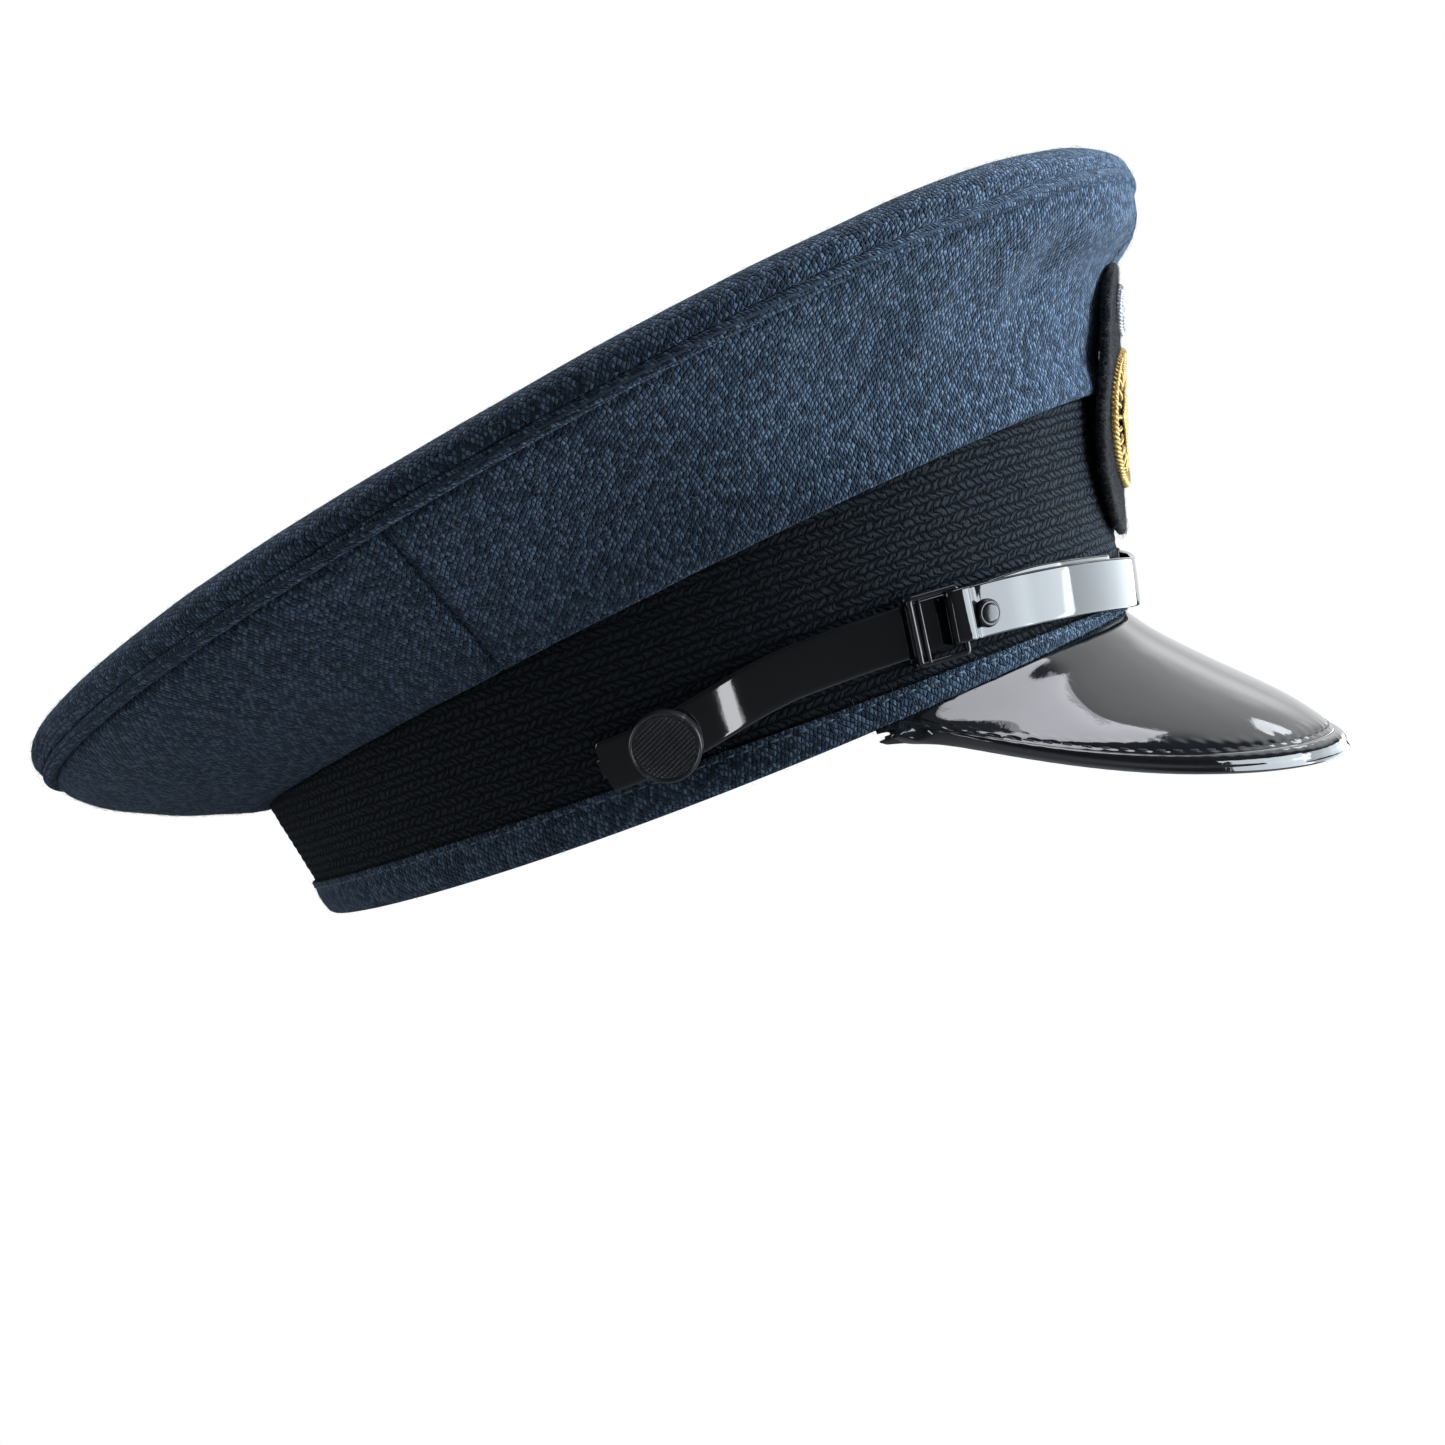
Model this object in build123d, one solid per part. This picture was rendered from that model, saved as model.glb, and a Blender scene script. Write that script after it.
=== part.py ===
from build123d import *
from math import cos, hypot, pi, radians, sin, sqrt
import os

# Military peaked cap, millimetres.
# Origin: centre of the head opening, in the plane of the band's lower edge.
# +X to the peak (front), +Y to the wearer's left, +Z up through the crown.

# ---- band: an oval wall that leans outward as it rises -------------------------------
BAND_HALF_LENGTH = 102.5        # outside, at the lower edge
BAND_HALF_WIDTH = 84.5
BAND_LEAN_LENGTH = 0.211        # growth of each half axis per mm of height
BAND_LEAN_WIDTH = 0.160
BAND_SHIFT = 0.019              # forward drift of the oval's centre per mm of height
SIDE_SAG = 3.0                  # the lower edge hangs this much lower at the two sides
JUNCTION_HEIGHT = 39.2          # braid meets crown cloth on a plane that rises forward
JUNCTION_SLOPE = 0.089
WELT_TOP_HEIGHT = 3.4           # top of the cloth welt, a plane that falls forward
WELT_TOP_SLOPE = -0.025
SWEATBAND_TOP_HEIGHT = 32.0     # top of the leather sweatband, also a sloping plane
SWEATBAND_TOP_SLOPE = 0.07

# Layers of the band, as offsets from the outer face of the braid (outside positive).
BRAID = (-1.1, 0.0)
WELT = (-1.1, 0.6)
STIFFENER = (-2.4, -1.2)
SWEATBAND = (-4.3, -3.4)
THREAD = (0.65, 0.95)

# ---- crown: four quarters, a welted rim and a slightly domed top panel ---------------
# Each ring is (centre x, half length, half width, height at x = 0, slope along x).
JUNCTION_RING = (2.8, 111.0, 90.8, JUNCTION_HEIGHT + 0.15, JUNCTION_SLOPE)
MIDDLE_RING = (-8.0, 129.0, 108.0, 54.6, 0.136)
RIM_RING = (-8.0, 146.0, 127.0, 71.3, 0.138)
SIDE_SEAM_X = -12.0
SEAM_GAP = 0.2
CLOTH = 2.4                     # cloth with its interlining
RIM_WELT_RADIUS = 1.7
# Top panel as (height above the rim plane, inset from the rim), outside and inside.
TOP_OUTSIDE = ((1.9, -0.4), (3.5, -0.9), (6.5, -0.1), (9.0, 2.4), (10.5, 6.5),
               (11.6, 16.0), (13.0, 40.0), (14.3, 80.0), (14.9, 112.0))
TOP_INSIDE = ((1.9, 1.4), (3.5, 1.0), (6.0, 1.9), (7.7, 4.2), (8.8, 7.8),
              (9.8, 16.5), (11.2, 40.0), (12.5, 80.0), (13.1, 112.0))
WIRE_RADIUS = 1.1
WIRE_INSET = 4.6                # the grommet wire runs inside the rolled rim
WIRE_LIFT = 4.6
PADDING_RADII = (1.25, 2.5)
JOINER_RADII = (1.15, 1.9)
JOINER_HALF_ANGLE = 5.6         # degrees each side of the back centre
# Lining as (ring, extra inset, lift above the ring's plane).
LINING_RINGS = ((JUNCTION_RING, 5.0, 0.0), (MIDDLE_RING, 8.0, 0.0),
                (RIM_RING, 13.0, 0.0), (RIM_RING, 15.5, 5.6))
LINING_THICKNESS = 0.8

# ---- peak ----------------------------------------------------------------------------
PEAK_HALF_ANGLE = radians(60.0)  # where its corners meet the band
PEAK_SWEEP = radians(76.3)       # half of the elliptical arc that its front edge follows
PEAK_CENTRE_X = 28.8
PEAK_REACH = 110.0
PEAK_HALF_WIDTH = 73.9
PEAK_FALL = (-21.8, 101.2, -34.6) # drop of the front edge, a quadratic of its forward share
PEAK_LEAST_DROP = 2.0             # the corners stay this far below the head opening
PEAK_EASE = 2.2                   # rounds the change from the least drop to the fall
PEAK_BULGE = 2.0
PEAK_COVER = (0.0, 0.8)          # depths below the glossy top face
PEAK_BOARD = (1.0, 2.1)
PEAK_LINING = (2.3, 2.9)
PEAK_BINDING = (-0.4, 3.2)
BINDING_WIDTH = 4.0
BINDING_GAP = 0.60
PEAK_STITCH = (-0.4, -0.1)
PEAK_STITCH_INSETS = (5.75, 5.05)

# ---- chin strap, buckles, studs and side buttons --------------------------------------
STRAP_HALF_HEIGHT = 5.6
TAIL = (0.9, 1.9)                # offsets from the band's outer face
TAIL_START = 90.4                # degrees round the band from the front centre
TAIL_END = 13.0
STRAP_THICKNESS = 1.1
BUCKLE_ANGLE = 49.0
BUCKLE_LENGTH = 12.4
BUCKLE_HEIGHT = 15.0
BUCKLE_RAIL = 1.2
BUCKLE_FACE = (3.0, 4.2)
BUCKLE_KEEPER = (0.1, 0.4)
STUD_ANGLE = 42.2
STUD_RADIUS = 3.0
STUD_SHANK = 1.2
BUTTON_ANGLE = 82.4
BUTTON_RADIUS = 7.5
BUTTON_FACE = (2.1, 5.4)
BUTTON_SHANK = 1.6
SHANK_CLEARANCE = 0.08
WASHER = (-3.15, -2.6)
WASHER_RADIUS = 4.2

# ---- badge on a curved felt patch ------------------------------------------------------
BADGE_FOOT = (109.0, 16.3)       # x and z of the patch's outer face at its lower end
BADGE_TOP = (128.2, 74.6)
BADGE_RADIUS = 72.0
FELT_THICKNESS = 1.6
BACKING_THICKNESS = 0.7
EMBROIDERY_HEIGHT = 1.3
BADGE_HALF_WIDTH = 19.5
BADGE_TOP_RADIUS = 13.0
GOLD_LIFT = 5.5                  # centre of the gold work above the centre of the lower oval

os.makedirs("parts", exist_ok=True)


def save(name, shape):
    """Write one sub-part to its own STEP file."""
    export_step(shape, f"parts/{name}.step")


def smoothstep(value):
    """Ease from 0 to 1."""
    held = min(1.0, max(0.0, value))
    return held * held * (3.0 - 2.0 * held)


# ---------------------------------------------------------------------------- band
def band_point(angle, height, offset):
    """A point on the leaning wall; angle in radians from the front centre."""
    length = BAND_HALF_LENGTH + BAND_LEAN_LENGTH * height + offset
    width = BAND_HALF_WIDTH + BAND_LEAN_WIDTH * height + offset
    return Vector(BAND_SHIFT * height + length * cos(angle), width * sin(angle), height)


def band_core(offset, low, high):
    """The solid oval inside the wall, from one height to another."""
    rings = []
    for height in (low, high):
        ring = Ellipse(BAND_HALF_LENGTH + BAND_LEAN_LENGTH * height + offset,
                       BAND_HALF_WIDTH + BAND_LEAN_WIDTH * height + offset)
        rings.append(Pos(BAND_SHIFT * height, 0, height) * ring)
    return loft(rings, ruled=True)


def band_layer(layer, low, high):
    """One layer of the wall, as a ring between two offsets."""
    return band_core(layer[1], low, high) - band_core(layer[0], low, high)


def sloped_block(height, slope, above):
    """A large block whose face is the plane z = height + slope * x."""
    plane = Plane(origin=(0, 0, height), x_dir=(1, 0, slope), z_dir=(-slope, 0, 1))
    side = Align.MIN if above else Align.MAX
    return plane * Box(500, 500, 200, align=(Align.CENTER, Align.CENTER, side))


def below_saddle(lift):
    """Everything under the saddle-shaped lower edge, raised by lift."""
    radius = BAND_HALF_WIDTH ** 2 / (2.0 * SIDE_SAG)
    return Pos(0, 0, lift - radius) * Rot(0, 90, 0) * Cylinder(radius, 400)


def strap_plane(degrees):
    """Plane on the right-hand wall: x runs forward along the strap and z points outward."""
    ahead = band_point(-radians(degrees - 1), strap_height(degrees - 1), 0)
    behind = band_point(-radians(degrees + 1), strap_height(degrees + 1), 0)
    centre = band_point(-radians(degrees), strap_height(degrees), 0)
    above = band_point(-radians(degrees), strap_height(degrees) + 1, 0)
    along = ahead - behind
    return Plane(origin=centre, x_dir=along, z_dir=along.cross(above - centre))


def strap_height(degrees):
    """Height of the chin strap's centre line; it rises from the front, then dips."""
    rise = 9.4 * smoothstep((min(degrees, 66.0) / 66.0) ** 0.85)
    dip = 4.5 * smoothstep((degrees - 66.0) / 20.0)
    return 5.6 + rise - dip


def both_sides(shape):
    """A piece on the wearer's right and its mirror image on the left."""
    return {"right": shape, "left": mirror(shape, about=Plane.XZ)}


def button_holes(radius):
    """Bores through the band wall for both button shanks."""
    bore = strap_plane(BUTTON_ANGLE) * Cylinder(radius, 20)
    return bore + mirror(bore, about=Plane.XZ)


def make_band():
    junction = sloped_block(JUNCTION_HEIGHT, JUNCTION_SLOPE, above=True)
    welt_top = sloped_block(WELT_TOP_HEIGHT, WELT_TOP_SLOPE, above=True)
    shank_holes = button_holes(BUTTON_SHANK + SHANK_CLEARANCE)

    stiffener = band_layer(STIFFENER, -8, 60) - below_saddle(0.8) - junction - shank_holes
    save("band_stiffener", stiffener)

    under_braid = sloped_block(WELT_TOP_HEIGHT + 0.15, WELT_TOP_SLOPE, above=False)
    braid = band_layer(BRAID, -8, 60) - under_braid - junction - shank_holes
    save("mohair_braid", braid)

    welt = band_layer(WELT, -8, 20) - below_saddle(0) - welt_top
    save("band_welt", welt)

    stitch_low = sloped_block(WELT_TOP_HEIGHT - 1.5, WELT_TOP_SLOPE, above=False)
    stitch_high = sloped_block(WELT_TOP_HEIGHT - 0.9, WELT_TOP_SLOPE, above=True)
    save("welt_stitching", band_layer(THREAD, -8, 20) - stitch_low - stitch_high)

    sweatband_top = sloped_block(SWEATBAND_TOP_HEIGHT, SWEATBAND_TOP_SLOPE, above=True)
    save("sweatband", band_layer(SWEATBAND, -8, 60) - below_saddle(0.6) - sweatband_top)


# ---------------------------------------------------------------------------- crown
def ring_face(ring, inset=0.0, lift=0.0):
    """Oval face in a plane that rises forward, moved inward and up that plane's normal."""
    centre_x, half_length, half_width, height, slope = ring
    plane = Plane(origin=(centre_x, 0, height + slope * centre_x),
                  x_dir=(1, 0, slope), z_dir=(-slope, 0, 1)).offset(lift)
    return plane * Ellipse(half_length * sqrt(1 + slope ** 2) - inset, half_width - inset)


def rim_stack(sections):
    """Solid through ovals given as (lift, inset) from the rim."""
    return loft([ring_face(RIM_RING, inset, lift) for lift, inset in sections], ruled=True)


def rim_tube(section, inset, lift, first_angle=0.0, last_angle=360.0):
    """A section swept along the rim between two angles, counted from the front."""
    centre_x, half_length, half_width, height, slope = RIM_RING
    plane = Plane(origin=(centre_x, 0, height + slope * centre_x),
                  x_dir=(1, 0, slope), z_dir=(-slope, 0, 1)).offset(lift)
    long_axis = half_length * sqrt(1 + slope ** 2) - inset
    path = plane * Edge.make_ellipse(long_axis, half_width - inset,
                                     start_angle=first_angle, end_angle=last_angle)
    start = Plane(origin=path @ 0, z_dir=path % 0)
    return sweep(start * section, path=path)


def crown_wall(outer_inset, inner_inset):
    """Shell of the crown's side between the braid and the rim."""
    rings = (JUNCTION_RING, MIDDLE_RING, RIM_RING)
    outside = loft([ring_face(ring, outer_inset) for ring in rings], ruled=True)
    inside = loft([ring_face(ring, inner_inset) for ring in rings], ruled=True)
    rim_cut = sloped_block(RIM_RING[3] - RIM_WELT_RADIUS - 0.2, RIM_RING[4], above=True)
    return outside - inside - rim_cut


def make_crown():
    wall = crown_wall(0.0, CLOTH)
    front = Pos(SIDE_SEAM_X + SEAM_GAP / 2, 0, 0)
    back = Pos(SIDE_SEAM_X - SEAM_GAP / 2, 0, 0)
    left = Pos(0, SEAM_GAP / 2, 0)
    right = Pos(0, -SEAM_GAP / 2, 0)
    low, middle, high = Align.MIN, Align.CENTER, Align.MAX
    save("quarter_front_left", wall & (front * left * Box(300, 300, 400, align=(low, low, middle))))
    save("quarter_front_right", wall & (front * right * Box(300, 300, 400, align=(low, high, middle))))
    save("quarter_back_left", wall & (back * left * Box(300, 300, 400, align=(high, low, middle))))
    save("quarter_back_right", wall & (back * right * Box(300, 300, 400, align=(high, high, middle))))

    stay = crown_wall(CLOTH + 0.4, CLOTH + 1.5) & (Pos(110, 0, 60) * Box(70, 44, 100))
    save("crown_front_stay", stay)

    save("crown_welt", rim_tube(Circle(RIM_WELT_RADIUS), 1.2, 0.0))
    save("crown_top_panel", rim_stack(TOP_OUTSIDE) - rim_stack(TOP_INSIDE))

    save("grommet_wire", rim_tube(Circle(WIRE_RADIUS), WIRE_INSET, WIRE_LIFT))
    sleeve = Circle(JOINER_RADII[1]) - Circle(JOINER_RADII[0])
    save("grommet_joiner", rim_tube(sleeve, WIRE_INSET, WIRE_LIFT, 180 - JOINER_HALF_ANGLE, 180 + JOINER_HALF_ANGLE))
    wadding = Circle(PADDING_RADII[1]) - Circle(PADDING_RADII[0])
    clear = JOINER_HALF_ANGLE + 0.5
    save("rim_padding", rim_tube(wadding, WIRE_INSET, WIRE_LIFT, clear - 180, 180 - clear))

    outside = [ring_face(ring, inset, lift) for ring, inset, lift in LINING_RINGS]
    inside = []
    for ring, inset, lift in LINING_RINGS:
        lowered = lift - LINING_THICKNESS if lift else 0.0
        inside.append(ring_face(ring, inset + LINING_THICKNESS, lowered))
    save("crown_lining", loft(outside, ruled=True) - loft(inside, ruled=True))

    shield_plane = Plane(origin=(RIM_RING[0], 0, RIM_RING[3] + RIM_RING[4] * RIM_RING[0]),
                         x_dir=(1, 0, RIM_RING[4]), z_dir=(-RIM_RING[4], 0, 1))
    shield = RectangleRounded(170, 120, 45)
    save("sweat_shield", extrude(shield_plane.offset(4.1) * shield, 0.5))


# ---------------------------------------------------------------------------- peak
def peak_drop(forward):
    """How far the front edge lies below the head opening."""
    level, slope, curve = PEAK_FALL
    extra = level + slope * forward + curve * forward ** 2 - PEAK_LEAST_DROP
    return PEAK_LEAST_DROP + (extra + hypot(extra, PEAK_EASE)) / 2.0


def peak_rails(place):
    """Root and tip points of the peak; place runs from -1 (right) to 1 (left)."""
    root = band_point(place * PEAK_HALF_ANGLE, 0, -0.5)
    root.Z = -1.1 - SIDE_SAG * (root.Y / BAND_HALF_WIDTH) ** 2
    turn = place * PEAK_SWEEP
    tip = Vector(PEAK_CENTRE_X + PEAK_REACH * cos(turn), PEAK_HALF_WIDTH * sin(turn), -peak_drop(cos(turn)))
    return root, tip


def peak_point(place, part_way, depth):
    """A point in the peak, part_way from root to tip and depth below its top face."""
    root, tip = peak_rails(place)
    step = 0.002
    before = peak_rails(place - step)
    after = peak_rails(place + step)
    along = (after[0] + after[1]) - (before[0] + before[1])
    normal = (tip - root).cross(along).normalized()
    bulge = PEAK_BULGE * sin(pi * part_way ** 2.2) * cos(place * pi / 2)
    return root + (tip - root) * part_way + normal * (bulge - depth)


def peak_width(place):
    """Distance from root to tip."""
    root, tip = peak_rails(place)
    return (tip - root).length


def inset_share(inset, width):
    """An inset from the tip line as a share of the width, narrowed at the corners."""
    return min(inset / width, 0.5 * inset / BINDING_WIDTH)


def peak_layer(depths, from_edge, to_edge, corners=(0.88, 0.92, 0.95, 0.97)):
    """A layer of the peak; edges are insets from the tip line, or None for the root."""
    half = [n / 12 for n in range(1, 11)] + list(corners)
    places = [-place for place in reversed(half)] + [0.0] + half
    sections = []
    for place in places:
        width = peak_width(place)
        start = 0.0 if from_edge is None else 1.0 - inset_share(from_edge, width)
        end = 1.0 - inset_share(to_edge, width)
        steps = [start + (end - start) * n / 4 for n in range(5)]
        top = [peak_point(place, step, depths[0]) for step in steps]
        bottom = [peak_point(place, step, depths[1]) for step in reversed(steps)]
        sections.append(Face(Wire.make_polygon(top + bottom, close=True)))
    return loft(sections, ruled=True)


def make_peak():
    save("peak_board", peak_layer(PEAK_BOARD, None, BINDING_WIDTH))
    save("peak_top_cover", peak_layer(PEAK_COVER, None, BINDING_WIDTH))
    save("peak_lining", peak_layer(PEAK_LINING, None, BINDING_WIDTH))
    save("peak_binding", peak_layer(PEAK_BINDING, BINDING_WIDTH - BINDING_GAP, 0.0))
    save("peak_stitching", peak_layer(PEAK_STITCH, *PEAK_STITCH_INSETS, corners=(0.9,)))


# ---------------------------------------------------------------------- chin strap
def strap_run(angles, offsets, height_shift=None, half_height=STRAP_HALF_HEIGHT):
    """Strap along the right-hand wall; offsets gives (inside, outside) at an angle."""
    sections = []
    for degrees in angles:
        centre = strap_height(abs(degrees))
        if height_shift:
            centre += height_shift(abs(degrees))
        inside, outside = offsets(abs(degrees))
        turn = radians(degrees)
        corners = [band_point(turn, centre - half_height, inside),
                   band_point(turn, centre - half_height, outside),
                   band_point(turn, centre + half_height, outside),
                   band_point(turn, centre + half_height, inside)]
        sections.append(Face(Wire.make_polygon(corners, close=True)))
    return loft(sections, ruled=True)


def tail_offsets(degrees):
    return TAIL


def tail_shift(degrees):
    """Past the buckle the tail rides a little above the strap that covers it."""
    return 1.3 * smoothstep((BUCKLE_ANGLE - 4.0 - degrees) / 14.0)


def strap_offsets(degrees):
    """The front strap stands off at the front and climbs over the buckle's bar."""
    inside = 2.3 + 0.2 * cos(min(1.0, degrees / 34.0) * pi / 2) ** 2
    inside += 0.65 * smoothstep((degrees - 34.0) / 5.0)
    inside += 1.8 * smoothstep((degrees - 44.2) / 1.0)
    return inside, inside + STRAP_THICKNESS


def return_offsets(degrees):
    """The end of the strap, folded back under its buckle bar."""
    return 2.15, 2.85


def make_strap():
    shank_hole = strap_plane(BUTTON_ANGLE) * Cylinder(BUTTON_SHANK + 0.6, 12)
    tail_angles = [-TAIL_START + (TAIL_START - TAIL_END) * n / 24 for n in range(25)]
    rounding = strap_plane(BUTTON_ANGLE) * Pos(2.0, 0, 0) * Cylinder(16.5, 12)
    front_part = Pos(14, -80, 10) * Box(300, 120, 60, align=(Align.MIN, Align.CENTER, Align.CENTER))
    tail = strap_run(tail_angles, tail_offsets, tail_shift) & (rounding + front_part)
    for side, shape in both_sides(tail - shank_hole).items():
        save(f"chin_strap_tail_{side}", shape)

    bar = strap_plane(BUCKLE_ANGLE)
    bar_x = BUCKLE_LENGTH / 2 - BUCKLE_RAIL / 2
    fold_angle = BUCKLE_ANGLE - 1.9
    ends = [fold_angle, 46.0, 45.2, 44.7, 44.2, 42.0, 39.0, 36.5, 34.0]
    middle = [29.0, 24.0, 19.0, 14.0, 9.5, 5.0, 2.0]
    run = [-degrees for degrees in ends + middle] + list(reversed(middle)) + list(reversed(ends))
    strap = strap_run(run, strap_offsets)
    folded = strap_run([-fold_angle, -45.0, -43.0, -41.0, -39.4], return_offsets)
    fold = bar * Pos(bar_x - BUCKLE_RAIL / 2 - 0.75, 0, 3.75) * Box(1.0, 2 * STRAP_HALF_HEIGHT, 3.6)
    folded += fold
    stud_hole = strap_plane(STUD_ANGLE) * Cylinder(STUD_SHANK + 0.1, 12)
    strap += folded + mirror(folded, about=Plane.XZ)
    strap -= stud_hole + mirror(stud_hole, about=Plane.XZ)
    save("chin_strap_front", strap)


def span(layer, sketch):
    """Extrude a sketch from the first to the second offset of a layer."""
    return extrude(Pos(0, 0, layer[0]) * sketch, layer[1] - layer[0])


def make_hardware():
    half = BUCKLE_LENGTH / 2
    frame = Rectangle(BUCKLE_LENGTH, BUCKLE_HEIGHT)
    window = Rectangle(BUCKLE_LENGTH - 2 * BUCKLE_RAIL, BUCKLE_HEIGHT - 2 * BUCKLE_RAIL)
    second_bar = Pos(-half + 2.6, 0, 0) * Rectangle(0.9, BUCKLE_HEIGHT - 1)
    keeper = Pos(-half + 1.55, 0, 0) * Rectangle(3.1, BUCKLE_HEIGHT)
    tail_slot = Rectangle(BUCKLE_LENGTH * 2, BUCKLE_HEIGHT - 2 * BUCKLE_RAIL)
    buckle = span(BUCKLE_FACE, frame - window + second_bar)
    buckle += span(BUCKLE_KEEPER, keeper)
    buckle += span((BUCKLE_KEEPER[0], BUCKLE_FACE[0] + 0.1), keeper - tail_slot)
    for side, shape in both_sides(strap_plane(BUCKLE_ANGLE) * buckle).items():
        save(f"buckle_{side}", shape)

    seat = strap_offsets(STUD_ANGLE)[1] + 0.06
    head = span((seat, seat + 1.5), Circle(STUD_RADIUS))
    head = chamfer(head.edges().group_by(Axis.Z)[-1], 1.0)
    stud = head + span((2.1, seat + 0.1), Circle(STUD_SHANK))
    for side, shape in both_sides(strap_plane(STUD_ANGLE) * stud).items():
        save(f"buckle_stud_{side}", shape)

    face = span(BUTTON_FACE, Circle(BUTTON_RADIUS))
    face = chamfer(face.edges().group_by(Axis.Z)[-1], 0.9)
    button = face + span((WASHER[0], BUTTON_FACE[0] + 0.1), Circle(BUTTON_SHANK))
    washer = span(WASHER, Circle(WASHER_RADIUS) - Circle(BUTTON_SHANK))
    for side, shape in both_sides(strap_plane(BUTTON_ANGLE) * button).items():
        save(f"side_button_{side}", shape)
    for side, shape in both_sides(strap_plane(BUTTON_ANGLE) * washer).items():
        save(f"button_washer_{side}", shape)
    pivot = strap_plane(BUTTON_ANGLE)
    print("right button at", pivot.origin, "facing", pivot.z_dir)


# ---------------------------------------------------------------------------- badge
def badge_plane():
    """Plane of the patch: origin at its middle, y up the patch and z outward."""
    lean = hypot(BADGE_TOP[0] - BADGE_FOOT[0], BADGE_TOP[1] - BADGE_FOOT[1])
    rise = ((BADGE_TOP[0] - BADGE_FOOT[0]) / lean, (BADGE_TOP[1] - BADGE_FOOT[1]) / lean)
    middle = ((BADGE_TOP[0] + BADGE_FOOT[0]) / 2, 0, (BADGE_TOP[1] + BADGE_FOOT[1]) / 2)
    return Plane(origin=middle, x_dir=(0, 1, 0), z_dir=(rise[1], 0, -rise[0])), lean


def badge_layer(outline, inner, outer):
    """Part of a bent sheet between two depths from the patch's outer face."""
    radii = (BADGE_RADIUS + inner, BADGE_RADIUS + outer)
    sheet = Cylinder(radii[1], 160) - Cylinder(radii[0], 160)
    bent = Pos(0, 0, -BADGE_RADIUS) * Rot(90, 0, 0) * sheet
    return bent & extrude(outline, 30, both=True)


def make_badge():
    plane, height = badge_plane()
    half = height / 2
    top_centre = half - BADGE_TOP_RADIUS
    low_centre = -half + BADGE_HALF_WIDTH + 1.5
    patch = Pos(0, low_centre, 0) * Ellipse(BADGE_HALF_WIDTH, BADGE_HALF_WIDTH + 1.5)
    patch += Pos(0, top_centre, 0) * Circle(BADGE_TOP_RADIUS)
    shoulders = Polyline((-17.2, low_centre + 10), (17.2, low_centre + 10),
                         (11.8, top_centre + 5.5), (-11.8, top_centre + 5.5), close=True)
    patch += make_face(shoulders)
    save("badge_patch", plane * badge_layer(patch, -FELT_THICKNESS, 0.0))
    behind = -FELT_THICKNESS - 0.1
    backing = scale(patch, 0.94)
    save("badge_backing", plane * badge_layer(backing, behind - BACKING_THICKNESS, behind))

    ring = Ellipse(15.5, 16.4) - Ellipse(12.4, 13.3)
    lozenge = Rot(0, 0, 45) * RectangleRounded(11.5, 11.5, 1.8)
    gold = Pos(0, low_centre + GOLD_LIFT, 0) * (ring + lozenge)
    save("badge_gold_embroidery", plane * badge_layer(gold, 0.1, EMBROIDERY_HEIGHT))
    silver = Pos(0, top_centre + 2.2, 0) * (Circle(6.2) - Circle(3.8) + Circle(2.0))
    save("badge_silver_embroidery", plane * badge_layer(silver, 0.1, EMBROIDERY_HEIGHT))


make_band()
make_crown()
make_peak()
make_strap()
make_hardware()
make_badge()
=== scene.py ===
import math
import random

import bmesh
import bpy
import numpy as np
from mathutils import Matrix, Vector, noise


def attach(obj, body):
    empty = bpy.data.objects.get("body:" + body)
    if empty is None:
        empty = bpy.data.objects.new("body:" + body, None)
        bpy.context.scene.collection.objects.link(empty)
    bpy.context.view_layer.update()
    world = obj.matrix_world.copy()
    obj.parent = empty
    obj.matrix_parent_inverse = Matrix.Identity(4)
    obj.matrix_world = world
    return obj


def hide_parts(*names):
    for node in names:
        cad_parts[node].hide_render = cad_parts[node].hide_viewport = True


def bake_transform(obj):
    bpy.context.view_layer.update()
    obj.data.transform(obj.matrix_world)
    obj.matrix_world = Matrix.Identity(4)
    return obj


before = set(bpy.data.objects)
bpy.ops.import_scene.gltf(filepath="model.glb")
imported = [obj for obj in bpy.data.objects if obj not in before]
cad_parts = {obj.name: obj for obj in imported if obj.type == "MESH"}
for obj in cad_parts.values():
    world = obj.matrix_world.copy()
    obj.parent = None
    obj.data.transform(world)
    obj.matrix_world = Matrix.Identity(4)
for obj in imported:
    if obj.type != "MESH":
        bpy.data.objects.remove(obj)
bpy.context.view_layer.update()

MM = 0.001
TAU = 2.0 * math.pi

# Shape of the cap in millimetres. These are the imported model's driving values, with four
# exceptions made for looks: the welt's top (3.4 there), the cloth (2.4 there), the badge's
# foot (x 109.0 there) and the junction ring's height (39.35 there).
BAND_HALF_LENGTH, BAND_HALF_WIDTH = 102.5, 84.5
BAND_LEAN_LENGTH, BAND_LEAN_WIDTH = 0.211, 0.160
BAND_SHIFT = 0.019
SIDE_SAG = 3.0
JUNCTION_HEIGHT, JUNCTION_SLOPE = 39.2, 0.089
WELT_TOP_HEIGHT, WELT_TOP_SLOPE = 5.2, -0.025
# Rings of the crown: centre x, half length, half width, height at x = 0, slope along x.
JUNCTION_RING = (2.8, 111.0, 90.8, 39.2, 0.089)
MIDDLE_RING = (-8.0, 129.0, 108.0, 54.6, 0.136)
RIM_RING = (-8.0, 146.0, 127.0, 71.3, 0.138)
SIDE_SEAM_X = -12.0
CLOTH = 1.8
SWEATBAND_TOP_HEIGHT, SWEATBAND_TOP_SLOPE = 32.0, 0.07
WIRE_INSET, WIRE_LIFT = 4.6, 4.6
PEAK_BULGE = 2.0
PEAK_STITCH_PITCH = 4.1
SWEATBAND_STITCHES, WELT_STITCHES = 168, 205
STRAP_HALF_HEIGHT = 5.6
BUCKLE_ANGLE, STUD_ANGLE, BUTTON_ANGLE = 49.0, 42.2, 82.4
TAIL_BEHIND, TAIL_ROUND = 14.3, 2.2
BADGE_FOOT, BADGE_TOP = (108.6, 16.3), (128.2, 74.6)
BADGE_RADIUS = 72.0
BADGE_HALF_WIDTH, BADGE_TOP_RADIUS, GOLD_LIFT = 19.5, 13.0, 5.5
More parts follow.
